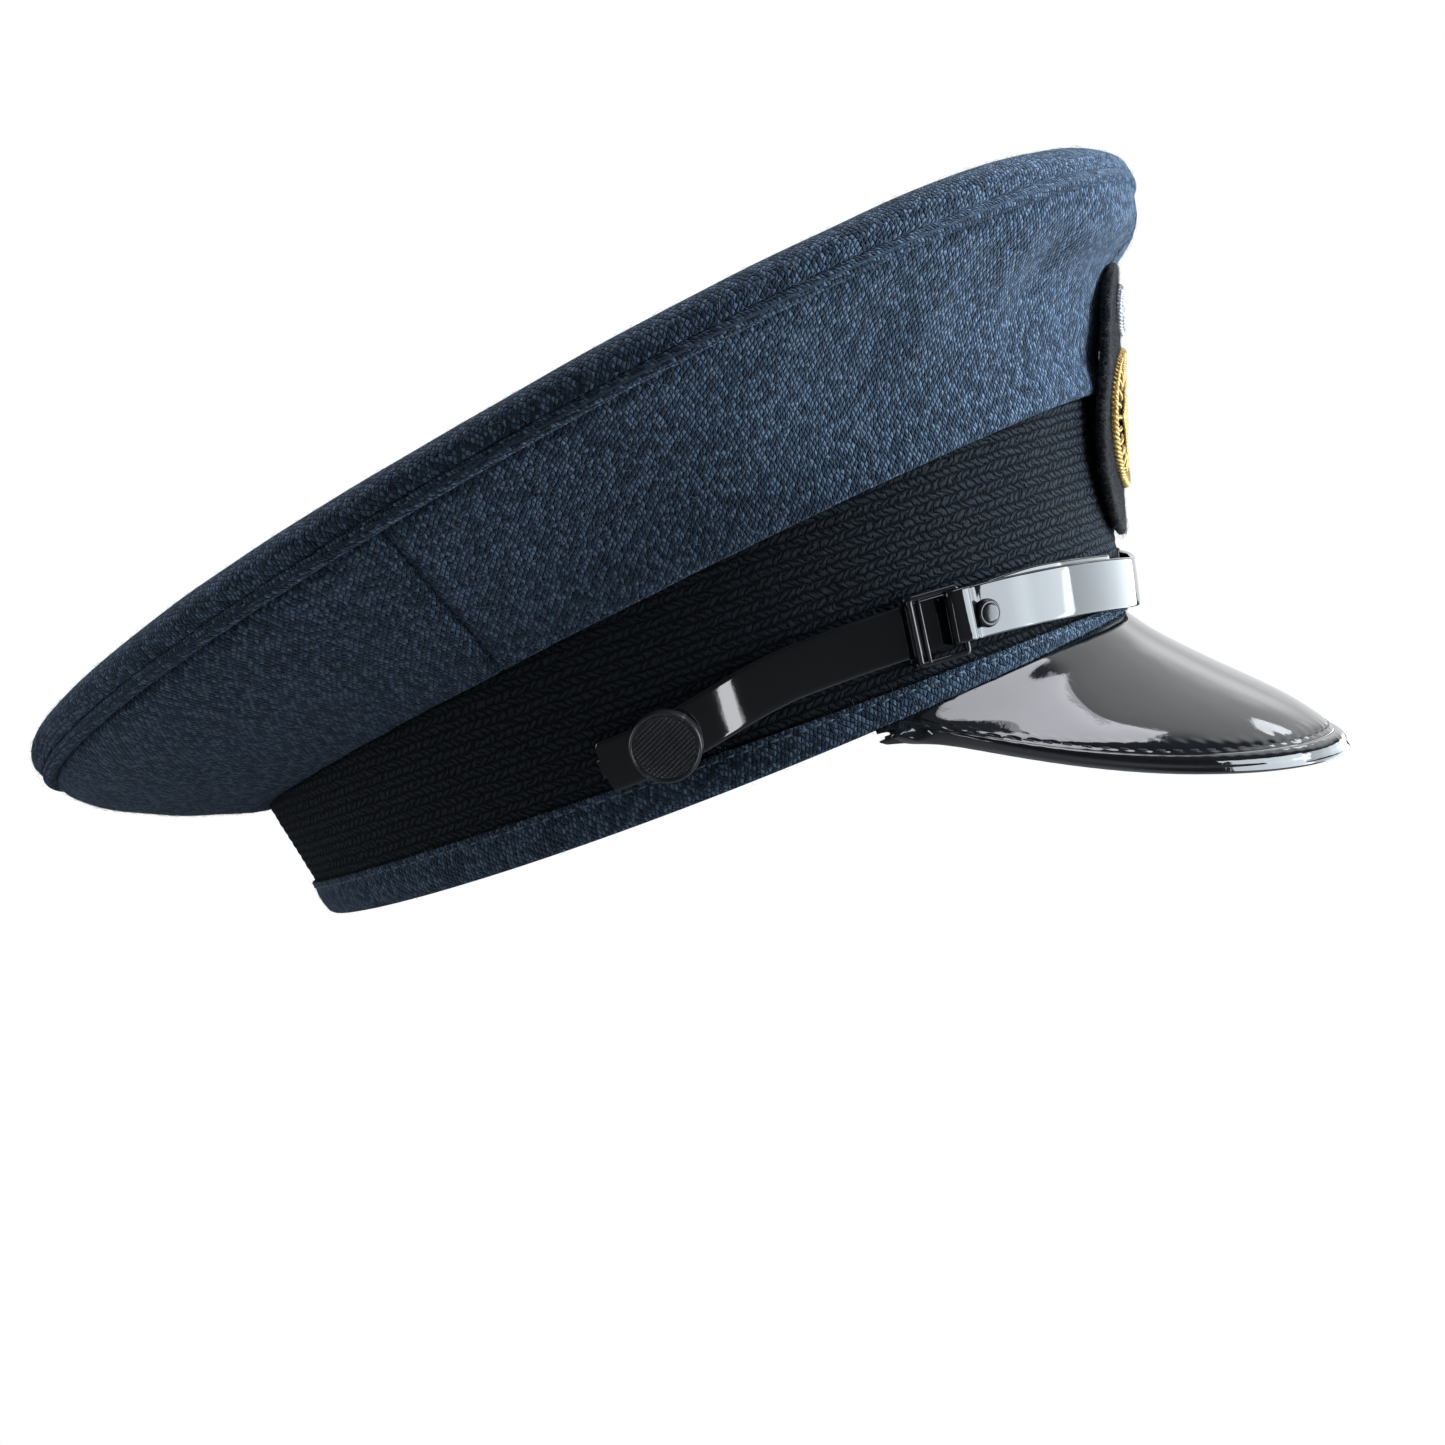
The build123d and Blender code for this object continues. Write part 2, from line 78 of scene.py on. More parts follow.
PEAK_HALF_ANGLE, PEAK_SWEEP = math.radians(60.0), math.radians(76.3)
PEAK_CENTRE_X, PEAK_REACH, PEAK_HALF_WIDTH = 28.8, 110.0, 73.9
BRAID_PITCH = 1.9
PEAK_FALL = (-21.8, 101.2, -34.6)
PEAK_LEAST_DROP, PEAK_EASE = 2.0, 2.2


# ------------------------------------------------------------------ mesh building
def build_mesh(name, points, faces, attributes=None):
    """A smooth-shaded mesh object from points in millimetres."""
    mesh = bpy.data.meshes.new(name)
    mesh.from_pydata((np.asarray(points, float) * MM).tolist(), [], faces)
    for key, values in (attributes or {}).items():
        layer = mesh.attributes.new(key, "FLOAT_VECTOR", "POINT")
        layer.data.foreach_set("vector", np.asarray(values, np.float32).ravel())
    mesh.update()
    edit = bmesh.new()
    edit.from_mesh(mesh)
    bmesh.ops.recalc_face_normals(edit, faces=edit.faces)
    edit.to_mesh(mesh)
    edit.free()
    mesh.shade_smooth()
    thing = bpy.data.objects.new(name, mesh)
    bpy.context.scene.collection.objects.link(thing)
    return thing


def grid_faces(rows, columns, start=0, close_columns=False, close_rows=False, flip=False):
    """Quads over a grid of points stored row by row."""
    row_ids = np.arange(rows if close_rows else rows - 1)
    column_ids = np.arange(columns if close_columns else columns - 1)
    r, c = np.meshgrid(row_ids, column_ids, indexing="ij")
    r, c = r.ravel(), c.ravel()
    r2, c2 = (r + 1) % rows, (c + 1) % columns
    quads = np.stack([r * columns + c, r * columns + c2, r2 * columns + c2, r2 * columns + c], 1)
    if flip:
        quads = quads[:, ::-1]
    return (quads + start).tolist()


def shell(name, outer, inner, weave=None, closed=False):
    """Closed shell between two grids of points (rows, columns, 3)."""
    rows, columns = outer.shape[:2]
    count = rows * columns
    points = np.concatenate([outer.reshape(-1, 3), inner.reshape(-1, 3)])
    faces = grid_faces(rows, columns, 0, closed)
    faces += grid_faces(rows, columns, count, closed, flip=True)

    def wall(line):
        ends = line + count
        return [[a, b, d, c] for a, b, c, d in zip(line[1:], line[:-1], ends[1:], ends[:-1])]

    first_row = np.arange(columns)
    last_row = first_row + (rows - 1) * columns
    if closed:
        first_row = np.append(first_row, first_row[0])
        last_row = np.append(last_row, last_row[0])
    faces += wall(first_row) + wall(last_row[::-1])
    if not closed:
        first_column = np.arange(rows) * columns
        faces += wall(first_column[::-1]) + wall(first_column + columns - 1)
    faces = [[int(v) for v in face] for face in faces]
    attributes = None
    if weave is not None:
        attributes = {"weave": np.concatenate([weave.reshape(-1, 3)] * 2)}
    return build_mesh(name, points, faces, attributes)


def ring_tube(name, sections, weave=None):
    """Closed tube from sections (count, points per section, 3) that join end to end."""
    rows, columns = sections.shape[:2]
    faces = grid_faces(rows, columns, 0, True, True)
    attributes = None if weave is None else {"weave": weave.reshape(-1, 3)}
    return build_mesh(name, sections.reshape(-1, 3), faces, attributes)


def open_tube(name, sections, weave=None):
    """Tube with flat ends from sections (count, points per section, 3)."""
    rows, columns = sections.shape[:2]
    faces = grid_faces(rows, columns, 0, True)
    faces.append(list(range(columns))[::-1])
    faces.append([(rows - 1) * columns + n for n in range(columns)])
    attributes = None if weave is None else {"weave": weave.reshape(-1, 3)}
    return build_mesh(name, sections.reshape(-1, 3), faces, attributes)


def normals_of(grid, close_columns=False, close_rows=False):
    """Unit normals over a grid of points, from its neighbours."""
    if close_columns:
        across = np.roll(grid, -1, 1) - np.roll(grid, 1, 1)
    else:
        across = np.gradient(grid, axis=1)
    if close_rows:
        down = np.roll(grid, -1, 0) - np.roll(grid, 1, 0)
    else:
        down = np.gradient(grid, axis=0)
    normal = np.cross(across, down)
    return normal / np.maximum(np.linalg.norm(normal, axis=-1, keepdims=True), 1e-9)


def smoothstep(value):
    held = np.clip(value, 0.0, 1.0)
    return held * held * (3.0 - 2.0 * held)


def soft_noise(grid, size, seed):
    """Smooth noise from -1 to 1 over points in millimetres, with features of that size."""
    shift = Vector((seed * 17.3, seed * 5.1, seed * 9.7))
    flat = grid.reshape(-1, 3) / size
    values = [noise.noise(Vector(point) + shift) for point in flat]
    return np.array(values).reshape(grid.shape[:-1])


def arc_lengths(grid, axis):
    """Running length along one axis of a grid."""
    steps = np.linalg.norm(np.diff(grid, axis=axis), axis=-1)
    zero = np.zeros_like(np.take(steps, [0], axis=axis))
    return np.concatenate([zero, np.cumsum(steps, axis=axis)], axis=axis)


def weave_of(grid):
    """Cloth coordinates in millimetres: across, up and 0."""
    up = arc_lengths(grid, 0)
    across = arc_lengths(grid, 1)
    middle = grid.shape[0] // 2
    across = np.broadcast_to(across[middle], across.shape)
    return np.stack([across, up, np.zeros_like(up)], -1)


def curve_through(points, count):
    """Smooth samples along a given line of points."""
    points = np.asarray(points, float)
    ends = [2 * points[0] - points[1]], [2 * points[-1] - points[-2]]
    p = np.concatenate([ends[0], points, ends[1]])
    place = np.linspace(0, len(points) - 1 - 1e-9, count)
    n = place.astype(int)
    t = (place - n)[:, None]
    a, b, c, d = p[n], p[n + 1], p[n + 2], p[n + 3]
    return 0.5 * (2 * b + (c - a) * t + (2 * a - 5 * b + 4 * c - d) * t ** 2
                  + (3 * b - a - 3 * c + d) * t ** 3)


def capsule(centre, along, out, length, radius, squeeze=1.0, ring=8, steps=6):
    """Points and faces of one thread stitch, a rounded bar that dips at its ends."""
    along, out = along / np.linalg.norm(along), out / np.linalg.norm(out)
    side = np.cross(along, out)
    points, rows = [], steps + 1
    for n in range(rows):
        t = n / steps * 2 - 1
        width = radius * math.sqrt(max(1 - t ** 4, 0.02))
        middle = centre + along * (t * length / 2) - out * (radius * 0.9 * t ** 4)
        for k in range(ring):
            turn = TAU * k / ring
            points.append(middle + side * (width * math.cos(turn)) + out * (width * squeeze * math.sin(turn)))
    faces = grid_faces(rows, ring, 0, True)
    faces.append(list(range(ring))[::-1])
    faces.append([(rows - 1) * ring + n for n in range(ring)])
    return points, faces


def gather(name, parts):
    """One mesh from many (points, faces) parts."""
    points, faces = [], []
    for part_points, part_faces in parts:
        start = len(points)
        points.extend(part_points)
        faces.extend([[v + start for v in face] for face in part_faces])
    return build_mesh(name, points, faces)


def finish_piece(piece, body, material, slot, *nodes):
    """Material, body and the CAD nodes that the piece stands for."""
    piece.data.materials.clear()
    piece.data.materials.append(material)
    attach(piece, body)
    if nodes:
        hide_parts(*nodes)
    return piece


# ------------------------------------------------------------------ shared shape
def band_points(angle, height, offset):
    """Points on the leaning band wall; angle in radians from the front."""
    angle, height, offset = np.broadcast_arrays(np.asarray(angle, float), height, offset)
    length = BAND_HALF_LENGTH + BAND_LEAN_LENGTH * height + offset
    width = BAND_HALF_WIDTH + BAND_LEAN_WIDTH * height + offset
    return np.stack([BAND_SHIFT * height + length * np.cos(angle), width * np.sin(angle), height], -1)


def plane_height(angle, height, slope, offset=0.0):
    """Height at which the band wall meets the plane z = height + slope * x."""
    z = np.full_like(np.asarray(angle, float), height)
    for _ in range(6):
        z = height + slope * band_points(angle, z, offset)[..., 0]
    return z


def lower_edge(angle):
    """Height of the band's saddle-shaped lower edge."""
    return -SIDE_SAG * np.sin(angle) ** 2


def strap_height(degrees):
    """Height of the chin strap's centre line; it rises from the front, then dips."""
    degrees = np.abs(degrees)
    rise = 9.4 * smoothstep((np.minimum(degrees, 66.0) / 66.0) ** 0.85)
    return 5.6 + rise - 4.5 * smoothstep((degrees - 66.0) / 20.0)


def ring_points(ring, angle, inset=0.0, lift=0.0):
    """Points on a crown ring, moved inward and up its plane's normal."""
    centre_x, half_length, half_width, height, slope = ring
    stretch = math.sqrt(1 + slope ** 2)
    angle, inset, lift = np.broadcast_arrays(np.asarray(angle, float), inset, lift)
    along = (half_length * stretch - inset) * np.cos(angle) / stretch
    x = centre_x + along - lift * slope / stretch
    z = height + slope * (centre_x + along) + lift / stretch
    return np.stack([x, (half_width - inset) * np.sin(angle), z], -1)


def crown_points(angle, rise):
    """Points on the crown's side: rise is 0 at the band and 1 at the rim."""
    rise = np.asarray(rise, float)[..., None]
    foot = ring_points(JUNCTION_RING, angle)
    middle = ring_points(MIDDLE_RING, angle)
    rim = ring_points(RIM_RING, angle)
    return (foot * (2 * rise - 1) * (rise - 1) + middle * 4 * rise * (1 - rise)
            + rim * rise * (2 * rise - 1))


# ------------------------------------------------------------------ materials
class Shader:
    """Short-hand for building the nodes of one material, or of the world."""

    def __init__(self, name, world=None):
        self.material = world or bpy.data.materials.new(name)
        self.material.use_nodes = True
        self.tree = self.material.node_tree
        self.tree.nodes.clear()
        self.output = self.tree.nodes.new("ShaderNodeOutput" + ("World" if world else "Material"))

    def node(self, kind, settings=None, **inputs):
        """Add a node; inputs are given by socket name with _ for a space, or as link or value."""
        made = self.tree.nodes.new("ShaderNode" + kind)
        for key, value in (settings or {}).items():
            setattr(made, key, value)
        for key, value in inputs.items():
            name = key.replace("_", " ")
            socket = made.inputs[int(name[2:])] if name.startswith("n ") else made.inputs[name]
            self.join(value, socket)
        return made

    def join(self, value, socket):
        if isinstance(value, bpy.types.NodeSocket):
            self.tree.links.new(value, socket)
        else:
            socket.default_value = value

    def math(self, operation, first, second=0.0, third=0.0, clamp=False):
        made = self.tree.nodes.new("ShaderNodeMath")
        made.operation, made.use_clamp = operation, clamp
        for socket, value in zip(made.inputs, (first, second, third)):
            self.join(value, socket)
        return made.outputs[0]

    def ramp(self, value, stops, interpolation="LINEAR"):
        """Colour ramp; stops are (place, colour or grey)."""
        made = self.tree.nodes.new("ShaderNodeValToRGB")
        made.color_ramp.interpolation = interpolation
        elements = made.color_ramp.elements
        while len(elements) < len(stops):
            elements.new(0.5)
        for element, (place, colour) in zip(elements, stops):
            element.position = place
            element.color = (*colour, 1) if hasattr(colour, "__len__") else (colour, colour, colour, 1)
        self.tree.links.new(value, made.inputs["Fac"])
        return made.outputs["Color"]

    def mix(self, factor, first, second, blend="MIX"):
        made = self.tree.nodes.new("ShaderNodeMix")
        made.data_type, made.blend_type = "RGBA", blend
        self.join(factor, made.inputs["Factor"])
        for value, socket in ((first, made.inputs[6]), (second, made.inputs[7])):
            if not isinstance(value, bpy.types.NodeSocket) and len(value) == 3:
                value = (*value, 1)
            self.join(value, socket)
        return made.outputs[2]

    def position(self, scale=1000.0, stretch=(1, 1, 1)):
        """Place on the object in millimetres times scale / 1000, stretched by axis."""
        where = self.node("TexCoord").outputs["Object"]
        scaled = self.node("Mapping", Vector=where, Scale=[scale * s for s in stretch])
        return scaled.outputs[0]

    def noise(self, vector, scale, detail=2.0, roughness=0.5, distortion=0.0):
        made = self.node("TexNoise", Vector=vector, Scale=scale, Detail=detail,
                         Roughness=roughness, Distortion=distortion)
        return made.outputs["Fac"]

    def bump(self, height, distance, strength=1.0, normal=None):
        made = self.node("Bump", Height=height, Distance=distance * MM, Strength=strength)
        if normal is not None:
            self.join(normal, made.inputs["Normal"])
        return made.outputs["Normal"]

    def principled(self, **inputs):
        made = self.node("BsdfPrincipled", **inputs)
        self.tree.links.new(made.outputs[0], self.output.inputs["Surface"])
        return self.material


def wool_material():
    """Blue-grey wool barathea: pebbled weave with painted shade in its gaps, heathered yarns and a soft nap.
    """
    s = Shader("wool_cloth")
    weave = s.node("Attribute", {"attribute_name": "weave"}).outputs["Vector"]
    where = s.position()
    wander = s.noise(where, 0.45, 2.0)
    wandering = s.node("VectorMath", {"operation": "MULTIPLY_ADD"}, n_0=s.node(
        "CombineXYZ", X=wander, Y=wander, Z=0.0).outputs[0], n_1=(0.8, 0.5, 0.0), n_2=weave).outputs[0]
    cells = s.node("Mapping", Vector=wandering, Scale=(1 / 0.78, 1 / 1.35, 0.0),
                   Rotation=(0, 0, 0.52)).outputs[0]
    pebble = s.node("TexVoronoi", {"voronoi_dimensions": "2D", "feature": "F1"},
                    Vector=cells, Scale=1.0, Randomness=0.36)
    rim = s.node("TexVoronoi", {"voronoi_dimensions": "2D", "feature": "DISTANCE_TO_EDGE"},
                 Vector=cells, Scale=1.0, Randomness=0.36).outputs["Distance"]
    yarn = s.node("SeparateColor", Color=pebble.outputs["Color"]).outputs[0]
    crown = s.ramp(rim, [(0.02, 0.0), (0.17, 0.70), (0.40, 1.0)])
    fibre = s.noise(s.node("Mapping", Vector=weave, Scale=(3.4, 1.0, 1.0), Rotation=(0, 0, 0.5)).outputs[0],
                    1.7, 3.0, 0.65, 0.6)
    fluff = s.noise(where, 3.1, 4.0, 0.7, 0.8)
    patchy = s.noise(where, 0.045, 3.0, 0.6)
    tone = s.math("MULTIPLY_ADD", yarn, 0.50, s.math("MULTIPLY", fibre, 0.66))
    body = s.ramp(tone, [(0.34, (0.007, 0.014, 0.026)), (0.56, (0.030, 0.057, 0.100)),
                         (0.80, (0.140, 0.215, 0.320))])
    # Painted shade: the colour falls to near black in the gaps between the pebbles, away from each pebble's
    # crown.
    gap_shade = s.mix(crown, (0.002, 0.004, 0.007), body)
    pale = s.mix(s.ramp(fluff, [(0.60, 0.0), (0.72, 0.55)]), gap_shade, (0.150, 0.200, 0.260))
    faded = s.mix(s.math("MULTIPLY_ADD", patchy, 0.9, -0.25, clamp=True), pale,
                  s.mix(0.30, pale, (0.070, 0.105, 0.165)))
    height = s.math("ADD", s.math("MULTIPLY", crown, 0.9), s.math("MULTIPLY", fibre, 0.35))
    return s.principled(Base_Color=faded, Roughness=0.92, Specular_IOR_Level=0.16,
                        Sheen_Weight=0.25, Sheen_Roughness=0.45, Sheen_Tint=(0.62, 0.78, 1.0, 1.0),
                        Normal=s.bump(height, 0.50, 1.0))


def braid_material():
    """Black mohair braid: rows of slanted stitches that lean alternately."""
    s = Shader("mohair_braid_black")
    weave = s.node("Attribute", {"attribute_name": "weave"}).outputs["Vector"]
    where = s.position()
    split = s.node("SeparateXYZ", Vector=weave)
    along, up = split.outputs["X"], split.outputs["Y"]
    rows = s.math("DIVIDE", s.math("MULTIPLY_ADD", s.noise(where, 0.40, 3.0), 1.5, up), BRAID_PITCH)
    row = s.math("FLOOR", rows)
    level = s.math("SUBTRACT", s.math("FRACT", rows), 0.5)
    lean = s.math("MULTIPLY_ADD", s.math("FLOORED_MODULO", row, 2.0), 2.0, -1.0)
    slanted = s.math("MULTIPLY_ADD", s.math("MULTIPLY", lean, level), 1.05, s.math("DIVIDE", along, 2.0))
    wandering = s.math("MULTIPLY_ADD", s.noise(where, 0.7, 3.0), 1.7, slanted)
    shuffled = s.math("MULTIPLY_ADD", row, 0.37, wandering)
    place = s.math("MULTIPLY_ADD", s.math("FRACT", shuffled), 2.0, -1.0)
    hump = s.math("SUBTRACT", 1.0, s.math("MULTIPLY", place, place))
    ridge = s.math("SUBTRACT", 1.0, s.math("MULTIPLY", s.math("MULTIPLY", level, level), 4.0))
    stitch = s.math("SQRT", s.math("MULTIPLY", hump, ridge, clamp=True))
    hair = s.noise(where, 2.8, 4.0, 0.7, 0.6)
    lit = s.math("MULTIPLY_ADD", stitch, 0.85, 0.15)
    shade = s.math("MULTIPLY", lit, s.math("MULTIPLY_ADD", hair, 1.3, 0.25))
    colour = s.ramp(shade, [(0.15, (0.0022, 0.0031, 0.0045)), (0.55, (0.0055, 0.0077, 0.0105)),
                            (0.95, (0.023, 0.030, 0.039))])
    height = s.math("MULTIPLY_ADD", stitch, 1.0, s.math("MULTIPLY", hair, 0.25))
    return s.principled(Base_Color=colour, Roughness=0.75, Specular_IOR_Level=0.14,
                        Normal=s.bump(height, 0.60, 1.0))


def patent_material(name, ripple):
    """Black patent leather: deep gloss with the faint ripple of its coating."""
    s = Shader(name)
    where = s.position()
    slow = s.noise(where, 0.05, 2.0, 0.5)
    fine = s.noise(where, 1.4, 2.0, 0.5)
    dust = s.noise(where, 2.6, 4.0, 0.7)
    speck = s.ramp(dust, [(0.70, 0.05), (0.80, 0.16)])
    colour = s.mix(s.ramp(dust, [(0.74, 0.0), (0.80, 1.0)]), (0.0040, 0.0042, 0.0050), (0.05, 0.055, 0.06))
    height = s.math("MULTIPLY_ADD", slow, 3.0, s.math("MULTIPLY", fine, 0.05))
    return s.principled(Base_Color=colour, Roughness=speck, Specular_IOR_Level=0.62,
                        Coat_Weight=1.0, Coat_Roughness=0.03, Coat_IOR=1.55,
                        Normal=s.bump(height, ripple, 0.6))


def thread_material(name, dark, light):
    """Twisted sewing thread."""
    s = Shader(name)
    twist = s.noise(s.position(), 5.0, 2.0, 0.6)
    colour = s.ramp(twist, [(0.35, dark), (0.65, light)])
    return s.principled(Base_Color=colour, Roughness=0.6, Normal=s.bump(twist, 0.08))


def lacquer_material(name, edge_rub_and_highlight, black=(0.008, 0.008, 0.010), satin=0.12):
    """Black lacquered metal, lighter on sharp edges and crests: rubbed edges, and at a full share on the
    button's ribs a painted highlight.
    """
    s = Shader(name)
    where = s.position()
    grain = s.noise(where, 3.0, 4.0, 0.6)
    edge = s.node("NewGeometry").outputs["Pointiness"]
    # Lighter on sharp edges and crests: rubbed edges on the buckle and stud, a painted highlight on the
    # button's rib crests.
    edge_rub_and_highlight_mask = s.math("MULTIPLY", s.ramp(edge, [(0.56, 0.0), (0.66, 1.0)]),
                  s.ramp(grain, [(0.42, 0.0), (0.62, 1.0)]))
    colour = s.mix(s.math("MULTIPLY", edge_rub_and_highlight_mask, edge_rub_and_highlight), black, (0.16, 0.16, 0.17))
    rough = s.math("MULTIPLY_ADD", grain, 0.10, satin)
    return s.principled(Base_Color=colour, Roughness=rough, Specular_IOR_Level=0.6,
                        Coat_Weight=0.6, Coat_Roughness=0.12, Normal=s.bump(grain, 0.012))


def felt_material():
    """Black badge felt."""
    s = Shader("badge_felt")
    where = s.position()
    fibres = s.noise(where, 1.9, 5.0, 0.75, 1.5)
    colour = s.ramp(fibres, [(0.35, (0.004, 0.004, 0.005)), (0.62, (0.012, 0.013, 0.014)),
                             (0.80, (0.05, 0.052, 0.055))])
    return s.principled(Base_Color=colour, Roughness=0.95, Specular_IOR_Level=0.15, Sheen_Weight=0.06,
                        Sheen_Roughness=0.5, Normal=s.bump(fibres, 0.45))


def bullion_material(name, dark, light, metallic):
    """Embroidery wire: metal with tarnish between the coils."""
    s = Shader(name)
    where = s.position()
    tarnish = s.noise(where, 0.8, 3.0, 0.6)
    coils = s.noise(where, 6.0, 2.0, 0.5)
    colour = s.mix(s.math("MULTIPLY_ADD", tarnish, 1.4, -0.25, clamp=True), dark, light)
    return s.principled(Base_Color=colour, Metallic=metallic, Roughness=0.24,
                        Normal=s.bump(coils, 0.10, 0.7))


def leather_material():
    """Brown sweatband leather with fine grain."""
    s = Shader("sweatband_hide")
    where = s.position()
    grain = s.node("TexVoronoi", {"feature": "DISTANCE_TO_EDGE"}, Vector=where, Scale=1.1,
                   Randomness=1.0).outputs["Distance"]
    crease = s.ramp(grain, [(0.0, 0.0), (0.18, 1.0)])
    stain = s.noise(where, 0.05, 4.0, 0.6)
    colour = s.ramp(stain, [(0.3, (0.060, 0.028, 0.014)), (0.7, (0.115, 0.058, 0.030))])
    toned = s.mix(s.math("MULTIPLY", s.math("SUBTRACT", 1.0, crease), 0.45), colour, (0.030, 0.014, 0.008))
    return s.principled(Base_Color=toned, Roughness=0.48, Specular_IOR_Level=0.4,
                        Normal=s.bump(crease, 0.10, 0.7))


def lining_material():
    """Dark satin lining, fine twill."""
    s = Shader("satin_lining")
    weave = s.node("Attribute", {"attribute_name": "weave"}).outputs["Vector"]
    twill = s.node("TexWave", {"wave_type": "BANDS", "bands_direction": "DIAGONAL"}, Vector=weave,
                   Scale=0.9, Distortion=0.6, Detail=1.0).outputs["Fac"]
    folds = s.noise(s.position(), 0.03, 3.0, 0.5)
    # Painted light and shade of soft folds: the colour darkens and lightens with a broad noise.
    colour = s.ramp(s.math("MULTIPLY_ADD", twill, 0.25, s.math("MULTIPLY", folds, 0.8)),
                    [(0.25, (0.010, 0.013, 0.020)), (0.8, (0.032, 0.040, 0.060))])
    return s.principled(Base_Color=colour, Roughness=0.42, Anisotropic=0.4, Specular_IOR_Level=0.5,
                        Normal=s.bump(twill, 0.05, 0.6))


def shield_material():
    """Clear sweat shield, faintly clouded."""
    s = Shader("clear_sheet")
    cloud = s.noise(s.position(), 0.04, 3.0)
    colour = s.ramp(cloud, [(0.3, (0.05, 0.055, 0.06)), (0.8, (0.09, 0.10, 0.11))])
    return s.principled(Base_Color=colour, Roughness=0.12, Specular_IOR_Level=0.5,
                        Coat_Weight=0.8, Coat_Roughness=0.05, Normal=s.bump(cloud, 1.5, 0.4))


def underside_material():
    """Dark embossed lining under the peak."""
    s = Shader("peak_underside")
    where = s.position()
    cross = s.node("TexVoronoi", {"feature": "F1"}, Vector=where, Scale=0.95, Randomness=0.25)
    pebbles = s.ramp(cross.outputs["Distance"], [(0.15, 1.0), (0.55, 0.0)])
    stain = s.noise(where, 0.07, 3.0)
    colour = s.ramp(stain, [(0.3, (0.010, 0.013, 0.012)), (0.7, (0.020, 0.025, 0.023))])
    return s.principled(Base_Color=colour, Roughness=0.5, Normal=s.bump(pebbles, 0.16, 0.8))


def board_material():
    """Plain fibre board."""
    s = Shader("fibre_board")
    grain = s.noise(s.position(), 0.9, 5.0, 0.7)
    colour = s.ramp(grain, [(0.3, (0.10, 0.075, 0.05)), (0.7, (0.20, 0.16, 0.11))])
    return s.principled(Base_Color=colour, Roughness=0.8, Normal=s.bump(grain, 0.1))


def metal_material(name, dark, light):
    """Bare metal with drawn streaks."""
    s = Shader(name)
    streaks = s.noise(s.position(1000, (1, 1, 6)), 0.8, 3.0)
    colour = s.ramp(streaks, [(0.3, dark), (0.7, light)])
    return s.principled(Base_Color=colour, Metallic=1.0, Roughness=0.35, Normal=s.bump(streaks, 0.02))


def wadding_material():
    """Off-white cotton wadding."""
    s = Shader("cotton_wadding")
    fluff = s.noise(s.position(), 0.9, 5.0, 0.75, 1.0)
    colour = s.ramp(fluff, [(0.3, (0.30, 0.28, 0.24)), (0.7, (0.55, 0.52, 0.46))])
    return s.principled(Base_Color=colour, Roughness=0.95, Normal=s.bump(fluff, 0.5))


WOOL = wool_material()
BRAID = braid_material()
PATENT_PEAK = patent_material("patent_peak", 0.30)
PATENT_STRAP = patent_material("patent_strap", 0.12)
PALE_THREAD = thread_material("pale_blue_thread", (0.045, 0.075, 0.105), (0.16, 0.22, 0.27))
BLACK_THREAD = thread_material("black_waxed_thread", (0.004, 0.004, 0.005), (0.035, 0.036, 0.04))
LACQUER = lacquer_material("black_lacquer", 0.5)
# Full share for the button: its rib crests carry a painted highlight besides rubbing.
BUTTON_LACQUER = lacquer_material("button_lacquer", 1.0, (0.028, 0.029, 0.032), 0.26)
FELT = felt_material()
GOLD = bullion_material("gold_bullion", (0.42, 0.25, 0.06), (0.95, 0.72, 0.30), 0.95)
SILVER = bullion_material("silver_bullion", (0.35, 0.35, 0.36), (0.86, 0.87, 0.88), 0.95)
LEATHER = leather_material()
LINING = lining_material()
SHIELD = shield_material()
UNDERSIDE = underside_material()
BOARD = board_material()
STEEL = metal_material("spring_steel", (0.20, 0.20, 0.21), (0.42, 0.42, 0.44))
BRASS = metal_material("brass_sleeve", (0.32, 0.22, 0.09), (0.60, 0.45, 0.20))
WADDING = wadding_material()


# ------------------------------------------------------------------ crown cloth
def outward(grid, normal):
    """Turn normals away from the cap's inside."""
    inside = np.array([-8.0, 0.0, 40.0])
    facing = np.sum((grid - inside) * normal, axis=-1, keepdims=True)
    return np.where(facing < 0, -normal, normal)


def quarter_rows():
    """Rows of a quarter from the turned-under lower edge to the rim, as (rise, stand-out)."""
    lip = [(-0.006, 0.15), (-0.018, 0.55), (-0.022, 1.10), (-0.016, 1.65), (0.000, 2.05)]
    rises = list(np.linspace(0.018, 0.93, 62)) + [0.950, 0.966, 0.980, 0.992]
    rows = lip + [(rise, 0.35 + 1.75 * math.exp(-(rise / 0.17) ** 2)) for rise in rises]
    return np.array(rows)


def ring_weights(rise):
    """Weights of the junction, middle and rim rings at a share of the crown's height."""
    return (2 * rise - 1) * (rise - 1), 4 * rise * (1 - rise), rise * (2 * rise - 1)


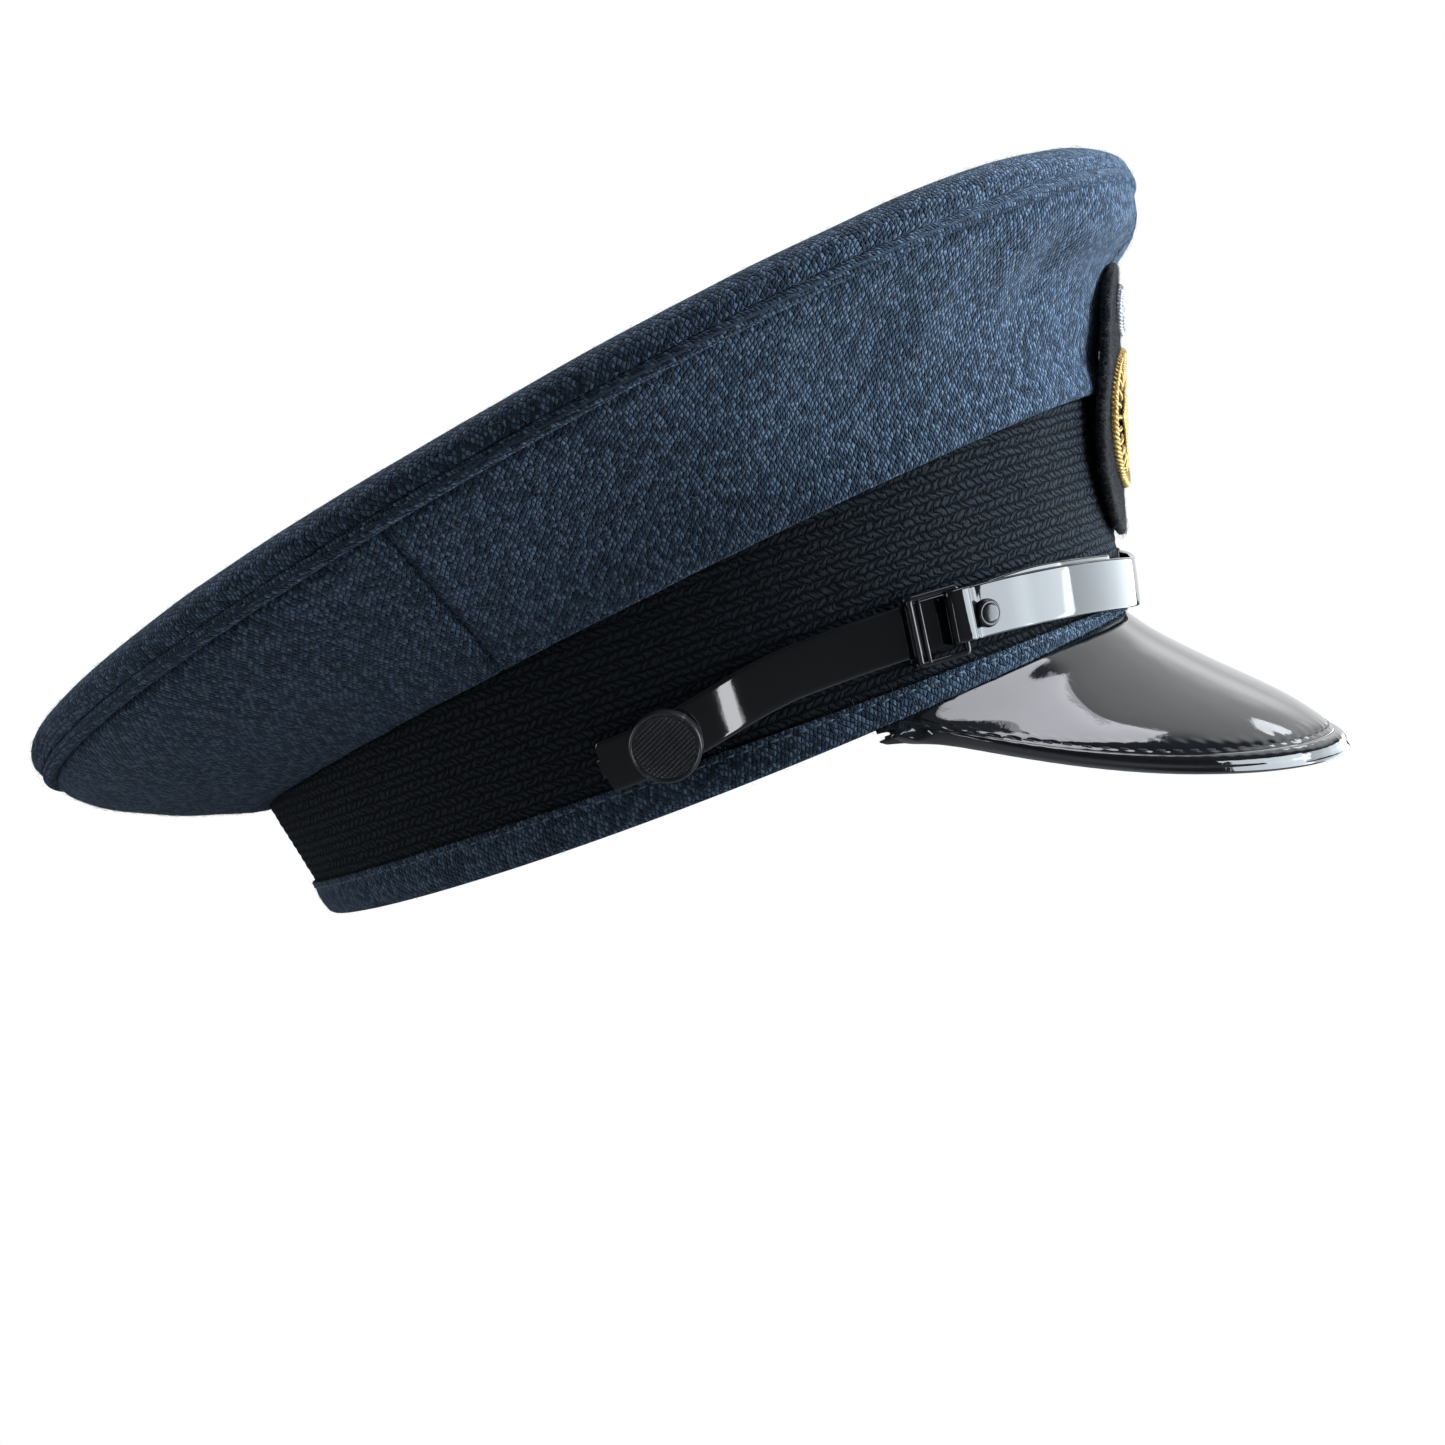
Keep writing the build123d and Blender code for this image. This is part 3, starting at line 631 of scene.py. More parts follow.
def quarter_cloth(side, front):
    """Outer grid of one quarter: rows go up, columns run back from the front or side seam."""
    rows = quarter_rows()
    rise = rows[:, 0][:, None]
    blend_foot, blend_middle, blend_rim = ring_weights(rise)
    centre = JUNCTION_RING[0] * blend_foot + MIDDLE_RING[0] * blend_middle + RIM_RING[0] * blend_rim
    half = JUNCTION_RING[1] * blend_foot + MIDDLE_RING[1] * blend_middle + RIM_RING[1] * blend_rim
    seam = np.arccos((SIDE_SEAM_X - centre) / half)
    place = np.linspace(0, 1, 151)
    edge = 0.004
    place = np.concatenate([[0.0, edge * 0.5], edge + (1 - 2 * edge) * place, [1 - edge * 0.5, 1.0]])[None, :]
    first, last = (np.zeros_like(seam), seam) if front else (seam, np.full_like(seam, math.pi))
    angle = side * (first + (last - first) * place)
    base = crown_points(angle, np.broadcast_to(rise, angle.shape))
    normal = outward(base, normals_of(base))
    up = arc_lengths(base, 0)
    across = arc_lengths(base, 1)
    from_seam = np.minimum(across, across[:, -1:] - across)
    from_rim = up[-1:] - up
    stand = np.broadcast_to(rows[:, 1][:, None], angle.shape).copy()

    body = np.sin(math.pi * np.clip(rise, 0, 1)) ** 0.7
    slow = soft_noise(base * [1, 1, 1.5], 46.0, 3)
    medium = soft_noise(base * [1, 1, 0.55], 17.0, 8)
    fine = soft_noise(base, 6.5, 5)
    stand += body * (1.15 * slow + 0.42 * medium) + 0.07 * fine
    stand += 0.30 * fine * np.exp(-up / 4.0)
    at_front = smoothstep((np.cos(angle) - 0.80) / 0.18)
    groove = 2.5 - 2.4 * at_front
    stand -= groove * np.exp(-(from_rim / 2.1) ** 2) * (1 + 0.18 * medium)
    stand -= 0.30 * np.exp(-(from_rim / 5.0) ** 2) * (0.6 + fine)
    stand -= 1.25 * np.exp(-(from_seam / 0.75) ** 2) * smoothstep(up / 3.0)
    stand += 0.38 * np.exp(-((from_seam - 2.6) / 2.0) ** 2) * body
    # Soft folds where the stiff front stay lifts the cloth.
    for fold_angle, depth, width, lean in ((-24.0, 1.7, 8.0, 9.0), (27.0, 1.4, 8.0, -8.0),
                                           (-41.0, -0.9, 9.0, 12.0), (44.0, -0.8, 9.0, -10.0)):
        off = (np.degrees(angle) - fold_angle - lean * (rise - 0.6)) * 1.9
        stand -= (depth * np.exp(-(off / width) ** 2) * smoothstep((rise - 0.22) / 0.4)
                  * smoothstep((1.02 - rise) / 0.3))
    # The cloth hollows a little at the back and swells over the stay at the front.
    at_back = smoothstep((-np.cos(angle) - 0.55) / 0.4)
    stand -= at_back * 0.9 * np.exp(-((rise - 0.52) / 0.24) ** 2)
    stand += at_front * 4.6 * np.exp(-((rise - 0.80) / 0.17) ** 2) * smoothstep((1.04 - rise) / 0.16)
    behind_badge = np.exp(-(base[..., 1] / 24.0) ** 2) * at_front
    stand += behind_badge * 2.2 * smoothstep((rise - 0.10) / 0.25) * smoothstep((0.72 - rise) / 0.25)
    outer = base + normal * stand[..., None]
    inner = base + normal * (np.minimum(stand, 0.5) - 1.0)[..., None]
    return outer, inner


def top_profile():
    """Profile of the top panel from the rim welt inward: (lift, inset, share towards the centre)."""
    roll = curve_through([(1.0, 1.5), (1.2, 0.5), (1.9, -0.45), (3.5, -1.05), (5.2, -0.85), (6.9, 0.05),
                          (8.7, 2.0), (10.1, 5.0), (11.0, 9.5), (11.6, 16.0)], 46)
    rows = [(lift, inset, 1.0) for lift, inset in roll]
    for share in np.linspace(0.985, 0.0, 74)[:-1]:
        rows.append((14.9 - 3.3 * share ** 1.7, 16.0, share))
    return np.array(rows)


def top_cloth():
    """Outer and inner grids of the top panel, with its pole, and the cloth coordinates."""
    rows = top_profile()
    columns = 420
    angle = np.linspace(0, TAU, columns, endpoint=False)[None, :]
    at_front = smoothstep((np.cos(angle) - 0.80) / 0.18)
    centre_x, _, _, height, slope = RIM_RING
    stretch = math.sqrt(1 + slope ** 2)
    tilt = np.array([-slope, 0.0, 1.0]) / stretch
    middle = np.array([centre_x, 0.0, height + slope * centre_x])
    drawn_in = 2.4 * at_front * smoothstep(rows[:, 0][:, None] / 9.0)
    base = ring_points(RIM_RING, angle, rows[:, 1][:, None] + drawn_in, 0.0)
    share = rows[:, 2][:, None, None]
    height_up = rows[:, 0][:, None]
    lift = height_up * (1 - 0.115 * np.sin(angle) ** 2 * smoothstep((height_up - 2.0) / 8.0))
    base = middle + (base - middle) * share + tilt * lift[..., None]
    normal = outward(base, normals_of(base, close_columns=True))
    run = arc_lengths(base, 0).mean(axis=1)[:, None]
    edge = np.exp(-(run / 6.0) ** 2)
    slow = soft_noise(base, 62.0, 21)
    medium = soft_noise(base, 20.0, 22)
    pucker = soft_noise(base * [1, 1, 0.4], 3.6, 24)
    stand = 0.85 * slow * smoothstep(run / 25.0) + 0.22 * medium + 0.30 * pucker * edge
    stand -= 0.42 * np.exp(-((run - 3.4) / 0.9) ** 2) * (0.75 + 0.6 * medium)
    stand -= 0.9 * (1 - at_front) * np.exp(-(run / 1.1) ** 2)
    outer = base + normal * stand[..., None]
    inner = base + normal * (np.minimum(stand, 0.0) - CLOTH * 0.75)[..., None]
    out_run = run[-1, 0] - run
    centre_run = out_run + 3.0
    weave = np.stack([centre_run * np.cos(angle), centre_run * np.sin(angle),
                      np.zeros_like(centre_run * angle)], -1)
    return outer, inner, weave


def domed_shell(name, outer, inner, weave=None):
    """Closed shell between two polar grids whose last row runs round a pole."""
    rows, columns = outer.shape[:2]
    count = rows * columns
    poles = [outer[-1].mean(axis=0), inner[-1].mean(axis=0)]
    points = np.concatenate([outer.reshape(-1, 3), inner.reshape(-1, 3), poles])
    faces = grid_faces(rows, columns, 0, True) + grid_faces(rows, columns, count, True, flip=True)
    last = (rows - 1) * columns
    for n in range(columns):
        m = (n + 1) % columns
        faces.append([last + n, last + m, 2 * count])
        faces.append([count + last + m, count + last + n, 2 * count + 1])
        faces.append([m, n, count + n, count + m])
    attributes = None
    if weave is not None:
        flat = weave.reshape(-1, 3)
        pole = weave[-1].mean(axis=0)
        attributes = {"weave": np.concatenate([flat, flat, [pole, pole]])}
    return build_mesh(name, points, faces, attributes)


def nap(name, patches, count, seed, spread=(0.8, 3.6), thick=0.022, height=0.55):
    """Loose curved fibres lying on grids of cloth."""
    dice = np.random.default_rng(seed)
    starts, normals = [], []
    for grid in patches:
        normal = outward(grid, normals_of(grid))
        share = count // len(patches)
        row = dice.uniform(0, grid.shape[0] - 1.001, share)
        column = dice.uniform(0, grid.shape[1] - 1.001, share)
        r, c = row.astype(int), column.astype(int)
        fr, fc = (row - r)[:, None], (column - c)[:, None]
        starts.append((grid[r, c] * (1 - fr) + grid[r + 1, c] * fr) * (1 - fc)
                      + (grid[r, c + 1] * (1 - fr) + grid[r + 1, c + 1] * fr) * fc)
        normals.append(normal[r, c])
    start, normal = np.concatenate(starts), np.concatenate(normals)
    number = len(start)
    any_way = dice.normal(size=(number, 3))
    along = np.cross(normal, any_way)
    along /= np.linalg.norm(along, axis=1, keepdims=True)
    side = np.cross(normal, along)
    length = spread[0] + (spread[1] - spread[0]) * dice.random(number) ** 2.2
    bend = dice.normal(size=number) * 0.32
    rise = height * dice.random(number) ** 2 + 0.06
    rings = []
    for t in (0.0, 0.14, 0.42, 0.72, 0.92, 1.0):
        x = (t * length)[:, None]
        y = (bend * t ** 2 * length)[:, None]
        z = (rise * math.sin(math.pi * min(t * 1.15, 1.0)) ** 0.8 - 0.08)[:, None]
        rings.append(start + along * x + side * y + normal * z)
    points = [rings[0]]
    for n, ring in enumerate(rings[1:-1]):
        for k in range(3):
            turn = TAU * k / 3
            radius = thick * (0.7 if n in (0, 3) else 1.0)
            points.append(ring + side * (radius * math.cos(turn)) + normal * (radius * math.sin(turn)))
    points.append(rings[-1])
    stacked = np.stack(points, 1)
    per = stacked.shape[1]
    pattern = [(0, 1 + k, 1 + (k + 1) % 3) for k in range(3)]
    for n in range(3):
        for k in range(3):
            a, b = 1 + 3 * n + k, 1 + 3 * n + (k + 1) % 3
            pattern.append((a, a + 3, b + 3, b))
    pattern += [(10 + (k + 1) % 3, 10 + k, per - 1) for k in range(3)]
    faces = [[v + per * n for v in face] for n in range(number) for face in pattern]
    return build_mesh(name, stacked.reshape(-1, 3), faces)


def build_crown():
    names = {(-1, True): "quarter_front_right", (1, True): "quarter_front_left",
             (-1, False): "quarter_back_right", (1, False): "quarter_back_left"}
    patches = []
    for (side, front), node in names.items():
        outer, inner = quarter_cloth(side, front)
        patches.append(outer[6:-3, 2:-2])
        piece = shell("crown_" + node, outer, inner, weave_of(outer))
        finish_piece(piece, "cap", WOOL, "crown_cloth", node)
    outer, inner, weave = top_cloth()
    top = domed_shell("crown_top_cloth", outer, inner, weave)
    finish_piece(top, "cap", WOOL, "crown_cloth", "crown_top_panel")
    top_patch = outer[4:]

    angle = np.linspace(0, TAU, 560, endpoint=False)
    turn = np.linspace(0, TAU, 20, endpoint=False)
    at_front = smoothstep((np.cos(angle) - 0.80) / 0.18)
    centre = ring_points(RIM_RING, angle, 1.2 + 0.3 * at_front, 0.0)
    ahead = np.roll(centre, -1, 0) - np.roll(centre, 1, 0)
    ahead /= np.linalg.norm(ahead, axis=1, keepdims=True)
    up = np.array([-RIM_RING[4], 0.0, 1.0]) / math.sqrt(1 + RIM_RING[4] ** 2)
    out = np.cross(ahead, up)
    wobble = 1 + 0.05 * soft_noise(centre, 9.0, 41) + 0.03 * soft_noise(centre, 3.0, 42)
    sections = (centre[:, None] + out[:, None] * (1.78 * wobble[:, None] * np.cos(turn))[..., None]
                + up * (1.70 * wobble[:, None] * np.sin(turn))[..., None])
    run = np.concatenate([[0], np.cumsum(np.linalg.norm(np.diff(centre, axis=0), axis=1))])
    lengthwise, girthwise = run[:, None], turn * 1.75
    weave = np.stack(np.broadcast_arrays(lengthwise * 0.8 + girthwise * 0.6,
                                         girthwise * 0.8 - lengthwise * 0.6, 0.0), -1)
    welt = ring_tube("crown_rim_welt", sections, weave)
    finish_piece(welt, "cap", WOOL, "crown_cloth", "crown_welt")

    side_fibres = nap("crown_side_nap", patches, 11000, 5)
    finish_piece(side_fibres, "cap", FIBRE, "crown_cloth")
    top_fibres = nap("crown_top_nap", [top_patch], 11000, 6)
    finish_piece(top_fibres, "cap", FIBRE, "crown_cloth")


def build_inside():
    # Lining: sides, then the roof under the top panel.
    columns = 200
    angle = np.linspace(0, TAU, columns, endpoint=False)[None, :]
    rows = []
    for rise in np.linspace(0, 1, 30):
        at_foot, at_middle, at_rim = ring_weights(rise)
        inset = 5.0 * at_foot + 8.0 * at_middle + 13.0 * at_rim
        foot = ring_points(JUNCTION_RING, angle, inset)
        middle = ring_points(MIDDLE_RING, angle, inset)
        rim = ring_points(RIM_RING, angle, inset)
        rows.append(foot * at_foot + middle * at_middle + rim * at_rim)
    for lift, inset in ((1.5, 13.2), (3.0, 13.6), (4.4, 14.4), (5.3, 15.5), (5.6, 18.0)):
        rows.append(ring_points(RIM_RING, angle, inset, lift))
    centre = ring_points(RIM_RING, 0.0, RIM_RING[1] * math.sqrt(1 + RIM_RING[4] ** 2), 5.6)
    edge = rows[-1]
    for share in np.linspace(0.95, 0.04, 34):
        rows.append(centre + (edge - centre) * share)
    base = np.concatenate([row.reshape(1, columns, 3) for row in rows])
    normal = outward(base, normals_of(base, close_columns=True))
    run = arc_lengths(base, 0)
    pleats = np.cos(angle * 46 + 1.3 * soft_noise(base, 30.0, 51)) * np.exp(-((run - 52.0) / 14.0) ** 2)
    sag = np.clip(0.9 * soft_noise(base, 34.0, 52) * smoothstep(run / 12.0), -1.6, 0.25)
    sag = sag - 0.35 * np.abs(pleats)
    outer = base + normal * sag[..., None]
    inner = outer - normal * 0.45
    weave = weave_of(outer)
    lining = domed_shell("crown_lining_cloth", outer, inner, weave)
    finish_piece(lining, "cap", LINING, "lining_cloth", "crown_lining")

    # Wadding round the grommet wire.
    angle = np.radians(np.linspace(-173.9, 173.9, 340))
    turn = np.linspace(0, TAU, 16, endpoint=False)
    centre = ring_points(RIM_RING, angle, WIRE_INSET, WIRE_LIFT)
    ahead = np.gradient(centre, axis=0)
    ahead /= np.linalg.norm(ahead, axis=1, keepdims=True)
    up = np.array([-RIM_RING[4], 0.0, 1.0]) / math.sqrt(1 + RIM_RING[4] ** 2)
    out = np.cross(ahead, up)
    radius = 2.25 + 0.22 * soft_noise(centre, 7.0, 61)[:, None]
    sections = (centre[:, None] + out[:, None] * (radius * np.cos(turn))[..., None]
                + up * (radius * np.sin(turn))[..., None])
    padding = open_tube("rim_wadding", sections)
    finish_piece(padding, "cap", WADDING, "wadding", "rim_padding")

    # Clear sweat shield, a rounded sheet on the lining's roof.
    columns = 160
    angle = np.linspace(0, TAU, columns, endpoint=False)
    power = 4.2
    radius = (np.abs(np.cos(angle) / 85.0) ** power + np.abs(np.sin(angle) / 60.0) ** power) ** (-1 / power)
    rows = []
    slope = RIM_RING[4]
    stretch = math.sqrt(1 + slope ** 2)
    tilt = np.array([-slope, 0.0, 1.0]) / stretch
    middle = np.array([RIM_RING[0], 0.0, RIM_RING[3] + slope * RIM_RING[0]]) + tilt * 4.35
    for share in np.linspace(1.0, 0.03, 24):
        along, across = radius * share * np.cos(angle), radius * share * np.sin(angle)
        rows.append(middle + np.outer(along, [1 / stretch, 0, slope / stretch]) + np.outer(across, [0, 1, 0]))
    base = np.array(rows)
    wave = -np.abs(0.35 * soft_noise(base, 40.0, 71))
    outer = base + tilt * (wave + 0.15)[..., None]
    shield = domed_shell("sweat_shield_sheet", outer, outer - tilt * 0.35)
    finish_piece(shield, "cap", SHIELD, "clear_shield", "sweat_shield")

    build_sweatband()


def build_sweatband():
    columns, rows = 360, 44
    angle = np.linspace(0, TAU, columns, endpoint=False)[None, :]
    share = np.linspace(0, 1, rows)[:, None]
    low = lower_edge(angle) + 0.7
    top_forward = band_points(angle, SWEATBAND_TOP_HEIGHT, -3.8)[..., 0]
    high = SWEATBAND_TOP_HEIGHT + SWEATBAND_TOP_SLOPE * top_forward
    height = low + (high - low) * share
    wave = 0.22 * soft_noise(band_points(angle, height, 0.0), 26.0, 81) * smoothstep(share / 0.3)
    pinch = 0.16 * np.exp(-((height - low - 3.2) / 0.7) ** 2)
    inner = band_points(angle, height, -4.25 + np.clip(wave, -0.4, 0.12) + pinch)
    edge = 0.25 * np.exp(-((share - 1) * 18) ** 2)
    outer = band_points(angle, height, -3.5 + np.clip(wave, -0.4, 0.05) - edge)
    band = shell("sweatband_hide", outer, inner, weave_of(inner), closed=True)
    finish_piece(band, "cap", LEATHER, "sweatband_leather", "sweatband")
    stitches = []
    total = SWEATBAND_STITCHES
    for n in range(total):
        turn = TAU * (n + 0.5) / total
        base = float(lower_edge(np.array(turn))) + 0.7 + 3.2
        here = band_points(turn, base, -4.3)
        step = band_points(turn + 0.01, base, -4.3) - band_points(turn - 0.01, base, -4.3)
        out = -np.array([math.cos(turn), math.sin(turn) * BAND_HALF_LENGTH / BAND_HALF_WIDTH, 0.0])
        stitches.append(capsule(here, step, out, 2.5, 0.22, 0.8, 6, 4))
    piece = gather("sweatband_stitches", stitches)
    finish_piece(piece, "cap", PALE_THREAD, "pale_thread")


# ------------------------------------------------------------------ band
def build_band():
    columns, rows = 720, 92
    angle = np.linspace(0, TAU, columns, endpoint=False)[None, :]
    share = np.linspace(0, 1, rows)[:, None]
    low = plane_height(angle, WELT_TOP_HEIGHT - 0.5, WELT_TOP_SLOPE)
    high = plane_height(angle, JUNCTION_HEIGHT + 0.6, JUNCTION_SLOPE)
    height = low + (high - low) * share
    base = band_points(angle, height, 0.0)
    rib = np.abs(np.sin(math.pi * (height - low) / BRAID_PITCH))
    fuzz = soft_noise(base * [1, 1, 1.6], 2.3, 92)
    uneven = soft_noise(base * [1, 1, 0.4], 9.0, 91)
    stand = -0.45 + (0.18 + 0.10 * uneven) * rib ** 0.7 + 0.16 * fuzz
    outer = band_points(angle, height, stand)
    inner = band_points(angle, height, np.full_like(stand, -1.1))
    piece = shell("mohair_braid_band", outer, inner, weave_of(base), closed=True)
    finish_piece(piece, "cap", BRAID, "black_braid", "mohair_braid")

    # Cloth welt rolled round the lower edge.
    columns = 600
    angle = np.linspace(0, TAU, columns, endpoint=False)[None, :]
    low = lower_edge(angle)
    high = plane_height(angle, WELT_TOP_HEIGHT, WELT_TOP_SLOPE)
    profile = curve_through([(0.16, -1.0), (0.02, -0.7), (-0.02, -0.25), (0.03, 0.25), (0.12, 0.60),
                             (0.28, 0.86), (0.48, 0.93), (0.66, 0.80), (0.78, 0.55), (0.84, 0.50),
                             (0.90, 0.62), (0.97, 0.66), (1.02, 0.50), (1.03, 0.15), (1.00, -0.2)], 34)
    height = low + (high - low) * profile[:, 0][:, None]
    base = band_points(angle, height, profile[:, 1][:, None])
    puff = 0.10 * soft_noise(base, 7.0, 95) + 0.05 * soft_noise(base, 2.5, 96)
    outer = band_points(angle, height, profile[:, 1][:, None] + puff)
    inner_height = low + 0.35 + (high - low - 0.5) * np.linspace(0.1, 0.95, len(profile))[:, None]
    inner = band_points(angle, inner_height, np.full_like(inner_height, -1.1))
    piece = shell("band_welt_cloth", outer, inner, weave_of(outer), closed=True)
    finish_piece(piece, "cap", WOOL, "crown_cloth", "band_welt")
    fibres = nap("band_welt_nap", [outer[6:-6]], 3200, 8, (0.6, 2.4), 0.020, 0.4)
    finish_piece(fibres, "cap", FIBRE, "crown_cloth")

    stitches = []
    total = WELT_STITCHES
    dice = random.Random(17)
    for n in range(total):
        turn = TAU * (n + 0.5 + dice.uniform(-0.06, 0.06)) / total
        top = float(plane_height(np.array(turn), WELT_TOP_HEIGHT - 1.05, WELT_TOP_SLOPE))
        here = band_points(turn, top, 0.70)
        step = band_points(turn + 0.01, top, 0.7) - band_points(turn - 0.01, top, 0.7)
        out = np.array([math.cos(turn) * BAND_HALF_WIDTH, math.sin(turn) * BAND_HALF_LENGTH, 0.0])
        stitches.append(capsule(here, step, out, 2.0, 0.24, 0.75, 6, 4))
    piece = gather("welt_thread", stitches)
    finish_piece(piece, "cap", PALE_THREAD, "pale_thread", "welt_stitching")


# ------------------------------------------------------------------ peak
def peak_rails(place):
    """Root and tip points of the peak; place runs from -1 (right) to 1 (left)."""
    root = band_points(place * PEAK_HALF_ANGLE, 0.0, -0.5)
    root[..., 2] = -1.1 - SIDE_SAG * (root[..., 1] / BAND_HALF_WIDTH) ** 2
    turn = place * PEAK_SWEEP
    forward = np.cos(turn)
    level, slope, curve = PEAK_FALL
    extra = level + slope * forward + curve * forward ** 2 - PEAK_LEAST_DROP
    drop = PEAK_LEAST_DROP + (extra + np.hypot(extra, PEAK_EASE)) / 2
    tip = np.stack([PEAK_CENTRE_X + PEAK_REACH * forward, PEAK_HALF_WIDTH * np.sin(turn), -drop], -1)
    return root, tip


def peak_points(place, part_way, depth):
    """Points in the peak; place from -1 to 1 across, part_way from root to tip, depth below the top."""
    place, part_way, depth = np.broadcast_arrays(np.asarray(place, float), part_way, depth)
    root, tip = peak_rails(place)
    before, after = peak_rails(place - 0.002), peak_rails(place + 0.002)
    along = (after[0] + after[1]) - (before[0] + before[1])
    normal = np.cross(tip - root, along)
    normal /= np.linalg.norm(normal, axis=-1, keepdims=True)
    bulge = PEAK_BULGE * np.sin(math.pi * np.clip(part_way, 0, 1) ** 2.2) * np.cos(place * math.pi / 2)
    return root + (tip - root) * part_way[..., None] + normal * (bulge - depth)[..., None]


def edge_share(place, inset):
    """An inset from the tip line as a share of the peak's width there."""
    root, tip = peak_rails(place)
    width = np.linalg.norm(tip - root, axis=-1)
    return np.minimum(inset / width, 0.5 * inset / 4.0)


def peak_places(count):
    """Places across the peak, spaced evenly along its edge."""
    fine = np.linspace(-0.985, 0.985, 2001)
    run = arc_lengths(peak_rails(fine)[1], 0)
    even = np.linspace(0, run[-1], count)
    return np.interp(even, run, fine), even


def build_peak():
    pitch = PEAK_STITCH_PITCH
    places, run = peak_places(481)
    beat = 1 + 0.25 * np.sin(run * 0.9 + 2.0 * np.sin(run * 0.23))
    steps = np.concatenate([np.linspace(0, 0.70, 30), np.linspace(0.72, 1.0, 40)])
    share = edge_share(places, 3.75)
    part = (1 - share)[None, :] * steps[:, None]
    base = peak_points(places[None, :], part, 0.0)
    root, tip = peak_rails(places)
    width = np.linalg.norm(tip - root, axis=-1)
    inset = (1 - part) * width[None, :]
    gathers = beat * (0.62 + 0.38 * np.cos(TAU * run / pitch))
    dip = 0.15 * np.exp(-((inset - 5.4) / 0.8) ** 2) * gathers[None, :]
    puff = 0.04 * np.exp(-((inset - 7.6) / 1.3) ** 2) * (1 - 0.6 * np.cos(TAU * run / pitch)[None, :])
    rolling = 0.05 * soft_noise(base, 24.0, 101)
    tucked = np.exp(-(part * width[None, :] / 5.0) ** 2)
    depth = dip - puff - rolling * smoothstep(inset / 12.0)
    rise = np.array([0.0, 0.0, 1.0]) * (1.15 * tucked)[..., None]
    top = peak_points(places[None, :], part, depth) + rise
    bottom = peak_points(places[None, :], part, 0.9) + rise * 0.6
    piece = shell("peak_patent_cover", top, bottom)
    finish_piece(piece, "cap", PATENT_PEAK, "patent", "peak_top_cover")

    under = 0.06 * soft_noise(base, 12.0, 102)
    piece = shell("peak_under_cover", peak_points(places[None, :], part, 2.3),
                  peak_points(places[None, :], part, 2.9 + under))
    finish_piece(piece, "cap", UNDERSIDE, "peak_underside", "peak_lining")

    # Bound edge, a bead folded round the rim of the peak.
    contour = curve_through([(3.70, 0.30), (3.55, -0.18), (2.9, -0.48), (1.7, -0.55), (0.55, -0.22),
                             (-0.05, 0.55), (-0.18, 1.30), (-0.02, 2.10), (0.55, 2.85), (1.7, 3.15),
                             (2.9, 3.10), (3.55, 2.98), (3.70, 2.70)], 40)
    insets, depths = contour[:, 0], contour[:, 1]
    ripple = 1 + 0.01 * np.cos(TAU * run / pitch)
    share = edge_share(places[:, None], insets[None, :])
    middle = 1.4
    sections = peak_points(places[:, None], 1 - share, middle + (depths[None, :] - middle) * ripple[:, None])
    piece = open_tube("peak_edge_binding", sections)
    finish_piece(piece, "cap", PATENT_PEAK, "patent", "peak_binding")

    stitches = []
    for at in np.arange(3.0, run[-1] - 2.0, pitch):
        place = np.interp([at - 0.6, at, at + 0.6], run, places)
        share = edge_share(place, 5.4)
        points = peak_points(place, 1 - share, 0.10)
        above = peak_points(place[1], 1 - share[1], -1.0)
        stitches.append(capsule(points[1], points[2] - points[0], above - points[1], 3.0, 0.25, 0.8, 8, 6))
    piece = gather("peak_thread", stitches)
    finish_piece(piece, "cap", BLACK_THREAD, "black_thread", "peak_stitching")


# ------------------------------------------------------------------ chin strap and fittings
def strap_frame(degrees):
    """Origin, forward, up and outward on the right-hand wall at the strap."""
    def at(turn, height):
        return band_points(-math.radians(turn), height, 0.0)
    centre = at(degrees, strap_height(degrees))
    along = at(degrees - 1, strap_height(degrees - 1)) - at(degrees + 1, strap_height(degrees + 1))
    out = np.cross(along, at(degrees, strap_height(degrees) + 1) - centre)
    along, out = along / np.linalg.norm(along), out / np.linalg.norm(out)
    return centre, along, np.cross(out, along), out


def placed(frame_axes, points):
    """Local points (forward, up, out) placed on the wall."""
    origin, along, up, out = frame_axes
    points = np.asarray(points, float)
    return origin + points[..., :1] * along + points[..., 1:2] * up + points[..., 2:3] * out


def ribbon_section(half_height, half_thick, corner=0.42):
    """Rounded rectangle as (up, out) pairs, slightly crowned."""
    corner = min(corner, half_thick * 0.92)
    points = []
    for up_sign, out_sign, first in ((1, 1, 90), (1, -1, 0), (-1, -1, -90), (-1, 1, 180)):
        for turn in (0, 30, 60, 90):
            a = math.radians(first - turn)
            points.append((up_sign * (half_height - corner) + corner * math.cos(a),
                           out_sign * (half_thick - corner) + corner * math.sin(a)))
    return np.array(points)


def sweep_ribbon(name, centres, ups, outs, half_heights, half_thicks):
    """Strap along a run of centres with its own up and outward directions."""
    sections = []
    for centre, up, out, half_height, half_thick in zip(centres, ups, outs, half_heights, half_thicks):
        shape = ribbon_section(half_height, half_thick)
        rows = []
        for n in range(len(shape)):
            a, b = shape[n], shape[(n + 1) % len(shape)]
            rows.append(a)
            if n % 8 == 7:
                for t in (0.08, 0.3, 0.5, 0.7, 0.92):
                    middle = a + (b - a) * t
                    middle = middle + [0, math.copysign(0.05 * (1 - (2 * t - 1) ** 2), middle[1])]
                    rows.append(middle)
        shape = np.array(rows)
        sections.append(centre + shape[:, :1] * up + shape[:, 1:] * out)
    return open_tube(name, np.array(sections))


def unit(vectors):
    return vectors / np.linalg.norm(vectors, axis=-1, keepdims=True)


def strap_inside(degrees):
    """How far the front strap's inner face stands off the band."""
    degrees = np.abs(degrees)
    inside = 2.3 + 0.2 * np.cos(np.minimum(1.0, degrees / 34.0) * math.pi / 2) ** 2
    inside += 0.65 * smoothstep((degrees - 34.0) / 5.0)
    return inside + 1.8 * smoothstep((degrees - 43.6) / 1.9)


